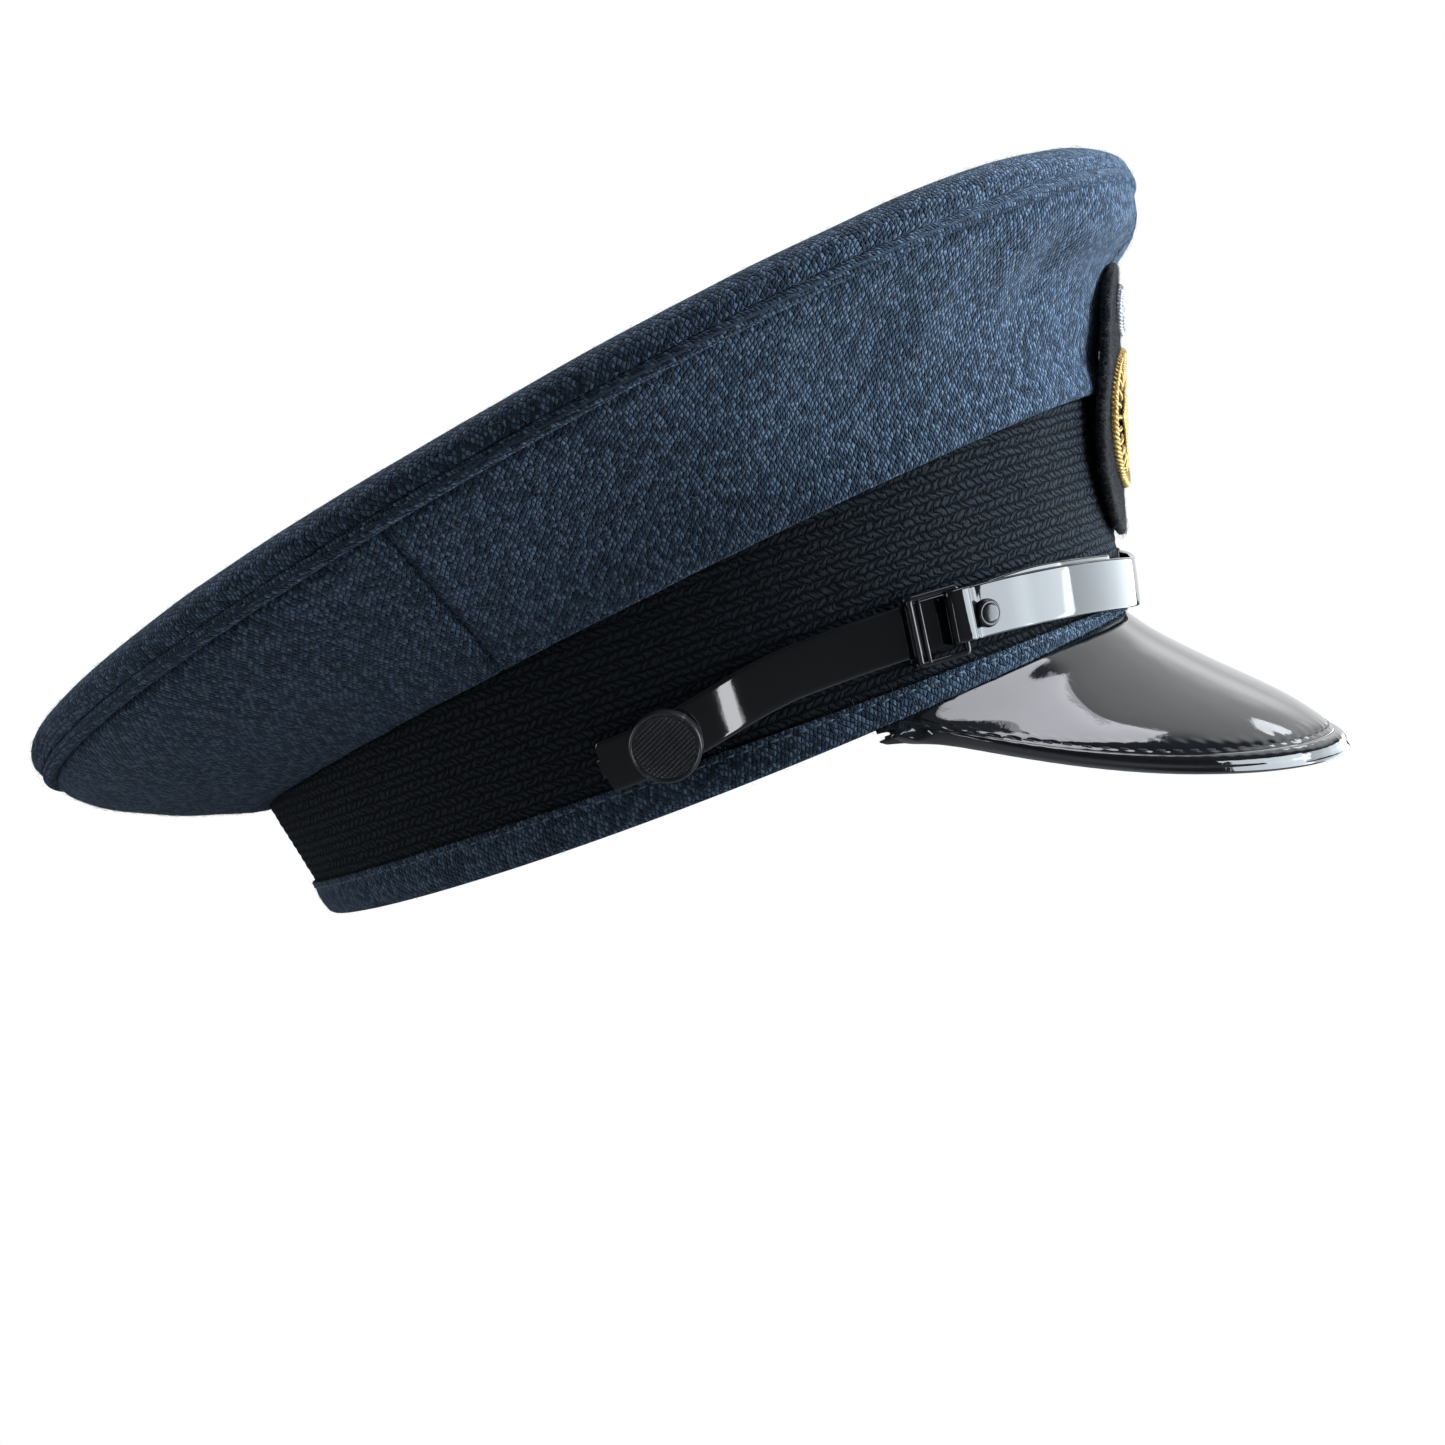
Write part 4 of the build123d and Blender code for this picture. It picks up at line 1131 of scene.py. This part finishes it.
def wall_run(degrees, offsets, shift=0.0):
    """Centres, ups and outs along the wall for signed angles."""
    turn = np.radians(degrees)
    height = strap_height(degrees) + shift
    centre = band_points(turn, height, offsets)
    up = unit(band_points(turn, height + 1, offsets) - centre)
    ahead = unit(np.gradient(centre, axis=0))
    out = unit(np.cross(ahead, up))
    flip = np.sign(np.sum(out * centre * [1, 1, 0], axis=-1, keepdims=True))
    out = out * flip
    up = unit(up - ahead * np.sum(up * ahead, axis=-1, keepdims=True))
    return centre, up, out


def build_strap():
    # Front strap: one run round the front, rolled back round both buckle bars.
    main = np.arange(-47.0, 47.01, 0.5)
    centre, up, out = wall_run(main, strap_inside(main) + 0.55)
    out += 0.006 * soft_noise(centre, 14.0, 111)[:, None] * up
    half_thick = np.full(len(main), 0.55)
    end_angles = np.linspace(46.6, 39.4, 16)
    pieces = [centre], [up], [out], [half_thick]
    for end, before in ((1, False), (-1, True)):
        folded, folded_up, folded_out = wall_run(end * end_angles, 2.5)
        at = -1 if end > 0 else 0
        top, low = centre[at], folded[0]
        middle, reach = (top + low) / 2, np.linalg.norm(top - low) / 2
        back = unit(centre[at] - centre[at + (-2 if end > 0 else 2)])
        turn = np.linspace(0.15, math.pi - 0.15, 12)
        lift = unit(top - low)
        roll = middle + lift * (reach * np.cos(turn))[:, None] + back * (reach * 0.92 * np.sin(turn))[:, None]
        roll_out = lift * np.cos(turn)[:, None] + back * np.sin(turn)[:, None]
        roll_up = np.repeat(up[at][None], len(turn), 0)
        chunk = (np.concatenate([roll, folded]), np.concatenate([roll_up, folded_up]),
                 np.concatenate([roll_out, -folded_out]),
                 np.concatenate([np.linspace(0.52, 0.38, len(turn)), np.full(len(folded), 0.35)]))
        for store, values in zip(pieces, chunk):
            if before:
                store.insert(0, values[::-1])
            else:
                store.append(values)
    centres, ups, outs, thicks = (np.concatenate(store) for store in pieces)
    halves = np.full(len(centres), STRAP_HALF_HEIGHT)
    strap = sweep_ribbon("chin_strap_front_run", centres, ups, outs, halves, thicks)
    finish_piece(strap, "strap_loop", PATENT_STRAP, "patent", "chin_strap_front")

    # Strap tails from the side buttons through the buckles.
    button = strap_frame(BUTTON_ANGLE)
    buckle = strap_frame(BUCKLE_ANGLE)
    for side, sign in (("right", -1), ("left", 1)):
        angles = np.concatenate([np.linspace(90.45, 87.0, 40), np.linspace(86.6, 13.0, 130)])
        shift = 1.3 * smoothstep((BUCKLE_ANGLE - 4.0 - angles) / 14.0)
        centre, up, out = wall_run(-angles, 1.4, shift)
        along = (centre - button[0]) @ button[1]
        past = np.clip((TAIL_ROUND - TAIL_BEHIND - along) / TAIL_ROUND, 0.0, 0.995)
        half = STRAP_HALF_HEIGHT * (1 - past ** 4) ** 0.25
        if sign > 0:
            mirror = np.array([1, -1, 1])
            centre, up, out = centre * mirror, up * mirror, out * mirror
        tail = sweep_ribbon("chin_strap_tail_run_" + side, centre, up, out, half, np.full(len(half), 0.5))
        tail.data.materials.append(PATENT_STRAP)
        start, end = button[0] * [1, sign * -1, 1], buckle[0] * [1, sign * -1, 1]
        start = start + (end - start) * 0.28
        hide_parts("chin_strap_tail_" + side)
        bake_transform(tail)
    build_hardware()


def tube_loop(path, radius_a, radius_b, ring=12, power=3.0, closed=True):
    """Squarish bar round a path in one plane: section radius_a in the plane, radius_b across it."""
    path = np.asarray(path, float)
    if closed:
        ahead = np.roll(path, -1, 0) - np.roll(path, 1, 0)
    else:
        ahead = np.gradient(path, axis=0)
    ahead = unit(ahead)
    out = np.array([0.0, 0.0, 1.0])
    side = np.cross(ahead, out)
    turn = np.linspace(0, TAU, ring, endpoint=False) + TAU / ring / 2
    shape = (np.abs(np.cos(turn)) ** power + np.abs(np.sin(turn)) ** power) ** (-1 / power)
    a, b = radius_a * shape * np.cos(turn), radius_b * shape * np.sin(turn)
    return path[:, None] + side[:, None] * a[:, None] + out * b[:, None]


def rounded_rectangle(half_x, half_y, corner, per_corner=6):
    """Points round a rounded rectangle."""
    points = []
    for cx, cy, start in ((1, 1, 0), (-1, 1, 90), (-1, -1, 180), (1, -1, 270)):
        for n in range(per_corner):
            a = math.radians(start + 90 * n / (per_corner - 1))
            points.append((cx * (half_x - corner) + corner * math.cos(a),
                           cy * (half_y - corner) + corner * math.sin(a), 0.0))
    return np.array(points)


def lathe(profile, columns=96):
    """Surface of revolution about the outward axis from (radius, height) pairs, closed at both ends."""
    turn = np.linspace(0, TAU, columns, endpoint=False)
    rows = [[(r * math.cos(t), r * math.sin(t), h) for t in turn] for r, h in profile]
    return np.array(rows)


def lathe_part(profile, axes, columns=96):
    grid = placed(axes, lathe(profile, columns))
    rows = len(profile)
    faces = grid_faces(rows, columns, 0, True)
    faces.append(list(range(columns))[::-1])
    faces.append([(rows - 1) * columns + n for n in range(columns)])
    return list(grid.reshape(-1, 3)), faces


def tube_part(sections, axes, close_rows=True):
    grid = placed(axes, sections)
    rows, columns = grid.shape[:2]
    faces = grid_faces(rows, columns, 0, True, close_rows)
    if not close_rows:
        faces.append(list(range(columns))[::-1])
        faces.append([(rows - 1) * columns + n for n in range(columns)])
    return list(grid.reshape(-1, 3)), faces


def bar_part(start, end, radius_a, radius_b, axes, power=3.2):
    """Straight squarish bar with eased ends."""
    start, end = np.asarray(start, float), np.asarray(end, float)
    ahead = unit(end - start)
    out = np.array([0.0, 0.0, 1.0])
    side = np.cross(ahead, out)
    turn = np.linspace(0, TAU, 16, endpoint=False) + TAU / 32
    shape = (np.abs(np.cos(turn)) ** power + np.abs(np.sin(turn)) ** power) ** (-1 / power)
    length = np.linalg.norm(end - start)
    ease = min(radius_a, radius_b) * 0.6
    sections = []
    for place, size in ((0, 0.55), (0.35 * ease, 0.85), (ease, 1.0), (length / 2, 1.0), (length - ease, 1.0),
                        (length - 0.35 * ease, 0.85), (length, 0.55)):
        centre = start + ahead * place
        sections.append(centre + side * (radius_a * size * shape * np.cos(turn))[:, None]
                        + out * (radius_b * size * shape * np.sin(turn))[:, None])
    return tube_part(np.array(sections), axes, False)


def plate_part(x, y, low, high, half_x, half_y, axes):
    """Small upright plate with rounded corners and eased ends."""
    ring = rounded_rectangle(half_x, half_y, 0.35)
    eased = ((low, 0.86), (low + 0.1, 1.0), (high - 0.1, 1.0), (high, 0.86))
    sections = [ring * size + [x, y, level] for level, size in eased]
    return tube_part(np.array(sections), axes, False)


def mirrored(part):
    points, faces = part
    return [np.asarray(p) * [1, -1, 1] for p in points], [face[::-1] for face in faces]


def button_face(axes):
    """Side button: rimmed disc whose face has fine slanting ribs."""
    radii = np.concatenate([np.linspace(0.15, 6.55, 62), [6.62, 6.70, 6.80, 6.95, 7.12, 7.28, 7.40, 7.47, 7.5,
                                                          7.5, 7.42, 7.25, 6.6, 4.0, 1.7]])
    columns = 260
    turn = np.linspace(0, TAU, columns, endpoint=False)
    slant = math.radians(17.0)
    rows = []
    for n, r in enumerate(radii):
        x, y = r * np.cos(turn), r * np.sin(turn)
        if n < 62:
            across = y * math.cos(slant) - x * math.sin(slant)
            ribs = np.abs(((across / 0.80) % 1.0) * 2 - 1)
            along = x * math.cos(slant) + y * math.sin(slant)
            notches = np.abs(((along / 0.66) % 1.0) * 2 - 1)
            ribs = ribs * (0.72 + 0.28 * smoothstep(notches * 2.2 - 0.2))
            h = 4.88 + 0.36 * smoothstep(ribs * 1.3 - 0.15) * smoothstep((6.5 - r) / 0.25)
        else:
            levels = (4.93, 5.02, 5.22, 5.38, 5.42, 5.36, 5.20, 4.98, 4.70, 2.75, 2.45, 2.22, 2.12, 2.1, 2.1)
            h = np.full(columns, levels[n - 62])
        rows.append(np.stack([x, y, h], -1))
    grid = placed(axes, np.array(rows))
    faces = grid_faces(len(radii), columns, 0, True)
    faces.append(list(range(columns))[::-1])
    faces.append([(len(radii) - 1) * columns + n for n in range(columns)])
    return list(grid.reshape(-1, 3)), faces


def build_hardware():
    buckle_axes, stud_axes, button_axes = (strap_frame(a) for a in (BUCKLE_ANGLE, STUD_ANGLE, BUTTON_ANGLE))
    half_x, half_y = 6.2 - 0.6, 7.5 - 0.6
    frame_path = rounded_rectangle(half_x, half_y, 0.7) + [0, 0, 3.6]
    dense = []
    for n in range(len(frame_path)):
        a, b = frame_path[n], frame_path[(n + 1) % len(frame_path)]
        dense.append(a)
        if np.linalg.norm(b - a) > 2:
            dense += [a + (b - a) * t for t in (0.04, 0.5, 0.96)]
    buckle = [tube_part(tube_loop(dense, 0.62, 0.62, 16, 4.0), buckle_axes),
              bar_part((-3.6, -7.0, 3.65), (-3.6, 7.0, 3.65), 0.48, 0.62, buckle_axes),
              bar_part((-4.65, -7.3, 0.25), (-4.65, 7.3, 0.25), 1.55, 0.15, buckle_axes, 6.0),
              plate_part(-4.65, 6.85, 0.2, 3.2, 1.5, 0.5, buckle_axes),
              plate_part(-4.65, -6.85, 0.2, 3.2, 1.5, 0.5, buckle_axes)]
    seat = float(strap_inside(np.array(STUD_ANGLE))) + 1.1 + 0.02
    stud = [lathe_part([(0.05, seat + 1.34), (0.9, seat + 1.33), (1.65, seat + 1.27), (1.95, seat + 1.20),
                        (2.10, seat + 1.10), (2.22, seat + 1.12), (2.45, seat + 1.16), (2.70, seat + 1.05),
                        (2.90, seat + 0.72), (3.0, seat + 0.35), (3.0, seat + 0.08), (2.9, seat), (1.2, seat),
                        (1.2, seat - 1.9), (0.05, seat - 1.9)], stud_axes)]
    button = [button_face(button_axes),
              lathe_part([(1.6, 2.2), (1.6, -3.0), (1.45, -3.15), (0.05, -3.15)], button_axes, 40)]
    for side, flip in (("right", False), ("left", True)):
        for name, parts, body, material, slot, node in (
                ("buckle_frame_", buckle, "strap_loop", LACQUER, "black_metal", "buckle_"),
                ("strap_stud_", stud, "strap_loop", LACQUER, "black_metal", "buckle_stud_"),
                ("ribbed_button_", button, "button_", BUTTON_LACQUER, "button_black", "side_button_")):
            made = [mirrored(part) for part in parts] if flip else parts
            piece = gather(name + side, made)
            on = body + side if body == "button_" else body
            finish_piece(piece, on, material, slot, node + side)


# ------------------------------------------------------------------ badge
def badge_axes():
    foot, top = np.array([BADGE_FOOT[0], 0.0, BADGE_FOOT[1]]), np.array([BADGE_TOP[0], 0.0, BADGE_TOP[1]])
    up = unit(top - foot)
    across, out = np.array([0.0, 1.0, 0.0]), np.array([up[2], 0.0, -up[0]])
    return (foot + top) / 2, across, up, out, np.linalg.norm(top - foot)


def bent(points):
    """Patch points (across, up, out) bent round the front of the cap."""
    centre, across, up, out, _ = badge_axes()
    points = np.asarray(points, float)
    radius = BADGE_RADIUS + points[..., 2]
    x = points[..., 0]
    depth = np.sqrt(np.maximum(radius ** 2 - x ** 2, 0)) - BADGE_RADIUS
    return centre + x[..., None] * across + points[..., 1:2] * up + depth[..., None] * out


def patch_edge(count):
    """Outline of the patch as a distance from its middle at each angle."""
    half = badge_axes()[4] / 2
    top_centre, low_centre = half - BADGE_TOP_RADIUS, -half + BADGE_HALF_WIDTH + 1.5
    turn = np.linspace(0, TAU, count, endpoint=False)
    reach = np.zeros(count)
    for r in np.arange(0.0, 40.0, 0.1):
        x, y = r * np.cos(turn), r * np.sin(turn)
        in_oval = (x / BADGE_HALF_WIDTH) ** 2 + ((y - low_centre) / (BADGE_HALF_WIDTH + 1.5)) ** 2 < 1
        in_top = x ** 2 + (y - top_centre) ** 2 < BADGE_TOP_RADIUS ** 2
        climb = (y - low_centre - 10) / (top_centre + 5.5 - low_centre - 10)
        in_shoulder = (climb > 0) & (climb < 1) & (np.abs(x) < 17.2 - 5.4 * climb)
        reach = np.where(in_oval | in_top | in_shoulder, r, reach)
    for _ in range(6):
        reach = (np.roll(reach, 1) + 2 * reach + np.roll(reach, -1)) / 4
    return turn, reach, top_centre, low_centre


def coil(path, radius, pitch, ring=10, step=0.12):
    """Bullion wire: a tube with fine coils along a path on the patch, with rounded ends."""
    path = np.asarray(path, float)
    run = arc_lengths(path, 0)
    count = max(int(run[-1] / step), 8)
    even = np.linspace(0, run[-1], count)
    centre = np.stack([np.interp(even, run, path[:, k]) for k in range(3)], -1)
    ahead = unit(np.gradient(centre, axis=0))
    out = np.array([0.0, 0.0, 1.0])
    side = unit(np.cross(ahead, out))
    lift = np.cross(side, ahead)
    ends = np.minimum(even, run[-1] - even)
    swell = radius * np.sqrt(np.clip(1 - (1 - np.clip(ends / radius, 0, 1)) ** 2, 0.12, 1))
    swell = swell * (1 + 0.13 * np.cos(TAU * even / pitch))
    turn = np.linspace(0, TAU, ring, endpoint=False)
    grid = (centre[:, None] + side[:, None] * (swell[:, None] * np.cos(turn))[..., None]
            + lift[:, None] * (swell[:, None] * np.sin(turn))[..., None])
    points = bent(grid)
    faces = grid_faces(count, ring, 0, True)
    faces.append(list(range(ring))[::-1])
    faces.append([(count - 1) * ring + n for n in range(ring)])
    return list(points.reshape(-1, 3)), faces


def rope(centre_y, half_x, half_y, strand, lay, level, count=420, strands=3):
    """Twisted rope of bullion strands round an oval on the patch."""
    parts = []
    turn = np.linspace(0, TAU, count, endpoint=False)
    loops = round(math.pi * (half_x + half_y) / lay)
    for k in range(strands):
        twist = loops * turn + TAU * k / strands
        r = strand * 1.05
        x = (half_x + r * np.cos(twist)) * np.cos(turn)
        y = centre_y + (half_y + r * np.cos(twist)) * np.sin(turn)
        path = np.stack([x, y, level + r * np.sin(twist)], -1)
        ahead = unit(np.roll(path, -1, 0) - np.roll(path, 1, 0))
        side = unit(np.cross(ahead, [0.0, 0.0, 1.0]))
        lift = np.cross(side, ahead)
        ring = np.linspace(0, TAU, 8, endpoint=False)
        grid = (path[:, None] + side[:, None] * (strand * np.cos(ring))[..., None]
                + lift[:, None] * (strand * np.sin(ring))[..., None])
        parts.append((list(bent(grid).reshape(-1, 3)), grid_faces(count, 8, 0, True, True)))
    return parts


def build_badge():
    turn, reach, top_centre, low_centre = patch_edge(300)
    thick, soft = 2.3, 0.95
    rows = []
    rounded = 1 - 0.05 * np.cos(np.linspace(0.35, 1.0, 8) * math.pi / 2)
    for share in np.concatenate([np.linspace(0.02, 0.95, 60), rounded]):
        edge = reach * (1 - share)
        round_off = soft * (1 - np.sqrt(np.clip(1 - np.clip(1 - edge / soft, 0, 1) ** 2, 0, 1)))
        rows.append((share, -round_off, 1.0))
    front = len(rows)
    for share in np.linspace(1.0, 0.02, 24):
        edge = reach * (1 - share)
        round_off = soft * (1 - np.sqrt(np.clip(1 - np.clip(1 - edge / soft, 0, 1) ** 2, 0, 1)))
        rows.append((share, -thick + round_off, 0.0))
    grid = np.array([np.stack([share * reach * np.cos(turn), share * reach * np.sin(turn), level], -1)
                     for share, level, _ in rows])
    rough = soft_noise(grid, 1.6, 131)
    grid[..., 2] += 0.10 * rough * np.array([1.0 if n < front else 0.0 for n in range(len(rows))])[:, None]
    grid[..., 2] += 0.25 * soft_noise(grid, 11.0, 132)
    away = grid[..., :2] / np.maximum(np.linalg.norm(grid[..., :2], axis=-1, keepdims=True), 1e-6)
    grid[..., :2] += away * (0.22 * rough * (np.array([r[0] for r in rows]) > 0.9)[:, None])[..., None]
    points = bent(grid)
    faces = grid_faces(len(rows), 300, 0, True)
    faces.append(list(range(300))[::-1])
    faces.append([(len(rows) - 1) * 300 + n for n in range(300)])
    patch = build_mesh("badge_felt_patch", points.reshape(-1, 3), faces)
    finish_piece(patch, "cap", FELT, "black_felt", "badge_patch")
    edge_band = bent(grid[front - 14:front + 5])
    fuzz = nap("badge_felt_nap", [edge_band, edge_band, points[:front - 4]], 9000, 9, (0.6, 2.4), 0.020, 0.55)
    finish_piece(fuzz, "cap", FIBRE_DARK, "black_felt")

    # Gold wire: a rope oval, short rays and a padded lozenge.
    low_centre += GOLD_LIFT
    gold = rope(low_centre, 13.9, 14.8, 0.55, 3.4, 0.35)
    dice = random.Random(5)
    for n in range(24):
        a = TAU * n / 24
        start, end = (8.3, 11.7) if n % 2 else (7.6, 12.0)
        path = [(r * math.cos(a), low_centre + r * math.sin(a) * 1.03, 0.40 + 0.35 * math.sin(math.pi * t))
                for t, r in ((t, start + (end - start) * t) for t in np.linspace(0, 1, 9))]
        gold.append(coil(path, 0.50 + dice.uniform(-0.04, 0.04), 0.42))
    for n in range(-7, 8):
        offset = n * 0.86
        reach_up = 6.2 - abs(offset)
        if reach_up < 0.8:
            continue
        crest = math.cos(offset / 8 * 1.4)
        path = [(offset, low_centre + y, 0.40 + 0.50 * math.cos(y / 7.5 * math.pi / 2) * crest)
                for y in np.linspace(-reach_up, reach_up, 15)]
        gold.append(coil(path, 0.47 + dice.uniform(-0.03, 0.03), 0.42))
    piece = gather("badge_gold_wire", gold)
    finish_piece(piece, "cap", GOLD, "gold_wire", "badge_gold_embroidery")

    # Silver wire: a rope ring round a small knot.
    middle = top_centre + 2.2
    silver = rope(middle, 5.0, 5.0, 0.46, 2.7, 0.35, 260)
    for k, radius in enumerate((1.7, 0.9)):
        a = np.linspace(0, TAU, 60)
        path = np.stack([radius * np.cos(a), middle + radius * np.sin(a), np.full(60, 0.40 + 0.30 * k)], -1)
        silver.append(coil(path, 0.48, 0.40))
    silver.append(coil([(-0.4, middle, 0.95), (0.0, middle, 1.05), (0.4, middle, 0.95)], 0.55, 0.40))
    piece = gather("badge_silver_wire", silver)
    finish_piece(piece, "cap", SILVER, "silver_wire", "badge_silver_embroidery")


# ------------------------------------------------------------------ studio
def studio():
    scene = bpy.context.scene
    scene.view_settings.view_transform = "Standard"
    scene.world = bpy.data.worlds.new("studio")
    s = Shader("studio", scene.world)
    way = s.node("TexCoord").outputs["Generated"]
    height = s.node("SeparateXYZ", Vector=way).outputs["Z"]
    room = s.ramp(s.math("MULTIPLY_ADD", height, 0.5, 0.5), [(0.30, (0.012, 0.013, 0.016)),
                                                             (0.95, (0.10, 0.115, 0.135))])
    # Pale surfaces that only reflections show: a backdrop and a wall to the front right.
    for axis, wide, level in (((-0.10, 0.97, 0.20), 38.0, 0.75), ((0.56, 0.66, 0.50), 30.0, 0.72),
                              ((0.72, -0.62, -0.30), 17.0, 0.25)):
        near = s.node("VectorMath", {"operation": "DOT_PRODUCT"}, n_0=way,
                      n_1=Vector(axis).normalized()).outputs["Value"]
        glow = s.node("MapRange", {"interpolation_type": "SMOOTHSTEP"}, Value=near,
                      From_Min=math.cos(math.radians(wide)), From_Max=math.cos(math.radians(wide * 0.6)),
                      To_Max=level).outputs[0]
        room = s.mix(1.0, room, glow, "ADD")
    seen = s.node("LightPath").outputs["Is Camera Ray"]
    dim = s.node("Background", Color=room, Strength=1.0).outputs[0]
    white = s.node("Background", Color=(1.0, 1.0, 1.0, 1.0), Strength=1.0).outputs[0]
    both = s.node("MixShader", n_0=seen, n_1=dim, n_2=white).outputs[0]
    s.tree.links.new(both, s.output.inputs["Surface"])

    def softbox(name, place, aim, size, power, colour, mirrored_too=True):
        light = bpy.data.lights.new(name, "AREA")
        light.shape, light.size, light.size_y = "RECTANGLE", size[0], size[1]
        light.energy, light.color = power, colour
        thing = bpy.data.objects.new(name, light)
        thing.location = place
        thing.rotation_euler = (Vector(aim) - Vector(place)).to_track_quat("-Z", "Y").to_euler()
        thing.visible_glossy = mirrored_too
        scene.collection.objects.link(thing)

    cool = (0.84, 0.93, 1.0)
    softbox("key_front", (0.92, 0.28, 0.17), (0.08, 0.0, 0.05), (0.45, 0.45), 27.0, cool, False)
    softbox("window_low", (0.95, 0.04, -0.28), (0.08, 0.0, 0.05), (0.62, 0.60), 6.5, cool)
    softbox("wall_left", (0.68, 0.66, -0.33), (0.10, 0.0, 0.03), (1.05, 0.60), 4.8, cool)
    softbox("window_high", (0.80, -0.02, 0.70), (0.10, -0.05, -0.02), (0.60, 0.24), 1.7, (0.92, 0.92, 1.0))
    softbox("lamp_left", (0.76, 0.63, 0.33), (0.11, -0.03, -0.02), (0.13, 0.13), 0.15, cool)
    softbox("overhead", (0.0, 0.30, 1.0), (0.0, 0.0, 0.05), (0.6, 0.5), 4.8, (0.92, 0.94, 1.0))
    softbox("fill_back", (-0.86, -0.50, 0.36), (-0.08, 0.0, 0.03), (0.6, 0.6), 3.6, (0.92, 0.96, 1.0))
    softbox("strip_side", (0.18, -0.87, -0.31), (0.02, -0.09, 0.02), (0.05, 0.25), 0.22, (0.95, 0.97, 1.0))

    # Pale floor, far below because the cap is held up.
    s = Shader("pale_floor")
    grain = s.noise(s.node("TexCoord").outputs["Object"], 2.0, 3.0)
    colour = s.ramp(grain, [(0.3, (0.30, 0.30, 0.31)), (0.7, (0.34, 0.34, 0.35))])
    matt = s.node("BsdfDiffuse", Color=colour).outputs[0]
    pale = s.node("Emission", Color=(1.0, 1.0, 1.0, 1.0), Strength=1.0).outputs[0]
    seen = s.node("LightPath").outputs["Is Camera Ray"]
    mixed = s.node("MixShader", n_0=seen, n_1=matt, n_2=pale).outputs[0]
    s.tree.links.new(mixed, s.output.inputs["Surface"])
    columns = 64
    turns = [TAU * n / columns for n in range(columns)]
    rows = [[(r * math.cos(turn), r * math.sin(turn), -900.0) for turn in turns]
            for r in (9000.0, 3000.0, 1000.0, 1.0)]
    faces = grid_faces(4, columns, 0, True)
    floor = build_mesh("studio_floor", np.array(rows).reshape(-1, 3), faces)
    floor.data.materials.append(s.material)

    # Camera at the photograph's viewing angle.
    azimuth, elevation, roll = math.radians(15.0), math.radians(1.5), math.radians(20.93)
    distance, lens = 0.540, 55.6
    back = Vector((math.sin(azimuth) * math.cos(elevation), -math.cos(azimuth) * math.cos(elevation),
                   math.sin(elevation)))
    right = Vector((0, 0, 1)).cross(back).normalized()
    up = back.cross(right)
    target = right * 0.00325 + up * 0.0083
    tilted_right = right * math.cos(roll) - up * math.sin(roll)
    tilted_up = right * math.sin(roll) + up * math.cos(roll)
    camera = bpy.data.objects.new("camera", bpy.data.cameras.new("camera"))
    camera.data.lens, camera.data.sensor_width = lens, 36.0
    camera.data.clip_start = 0.02
    matrix = Matrix((tilted_right, tilted_up, back)).transposed().to_4x4()
    matrix.translation = target + back * distance
    camera.matrix_world = matrix
    scene.collection.objects.link(camera)
    scene.camera = camera


def finish_nodes():
    """Materials for the CAD nodes that stay as they are, all of them inside the cap."""
    for names, material in ((("band_stiffener", "peak_board", "crown_front_stay", "badge_backing"), BOARD),
                            (("grommet_wire", "button_washer_right", "button_washer_left"), STEEL),
                            (("grommet_joiner",), BRASS)):
        for name in names:
            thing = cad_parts[name]
            thing.data.materials.clear()
            thing.data.materials.append(material)


FIBRE = thread_material("wool_fibre", (0.10, 0.13, 0.17), (0.42, 0.48, 0.55))
FIBRE_DARK = thread_material("felt_fibre", (0.02, 0.02, 0.022), (0.16, 0.16, 0.17))

studio()
build_crown()
build_inside()
build_band()
build_peak()
build_strap()
build_badge()
finish_nodes()
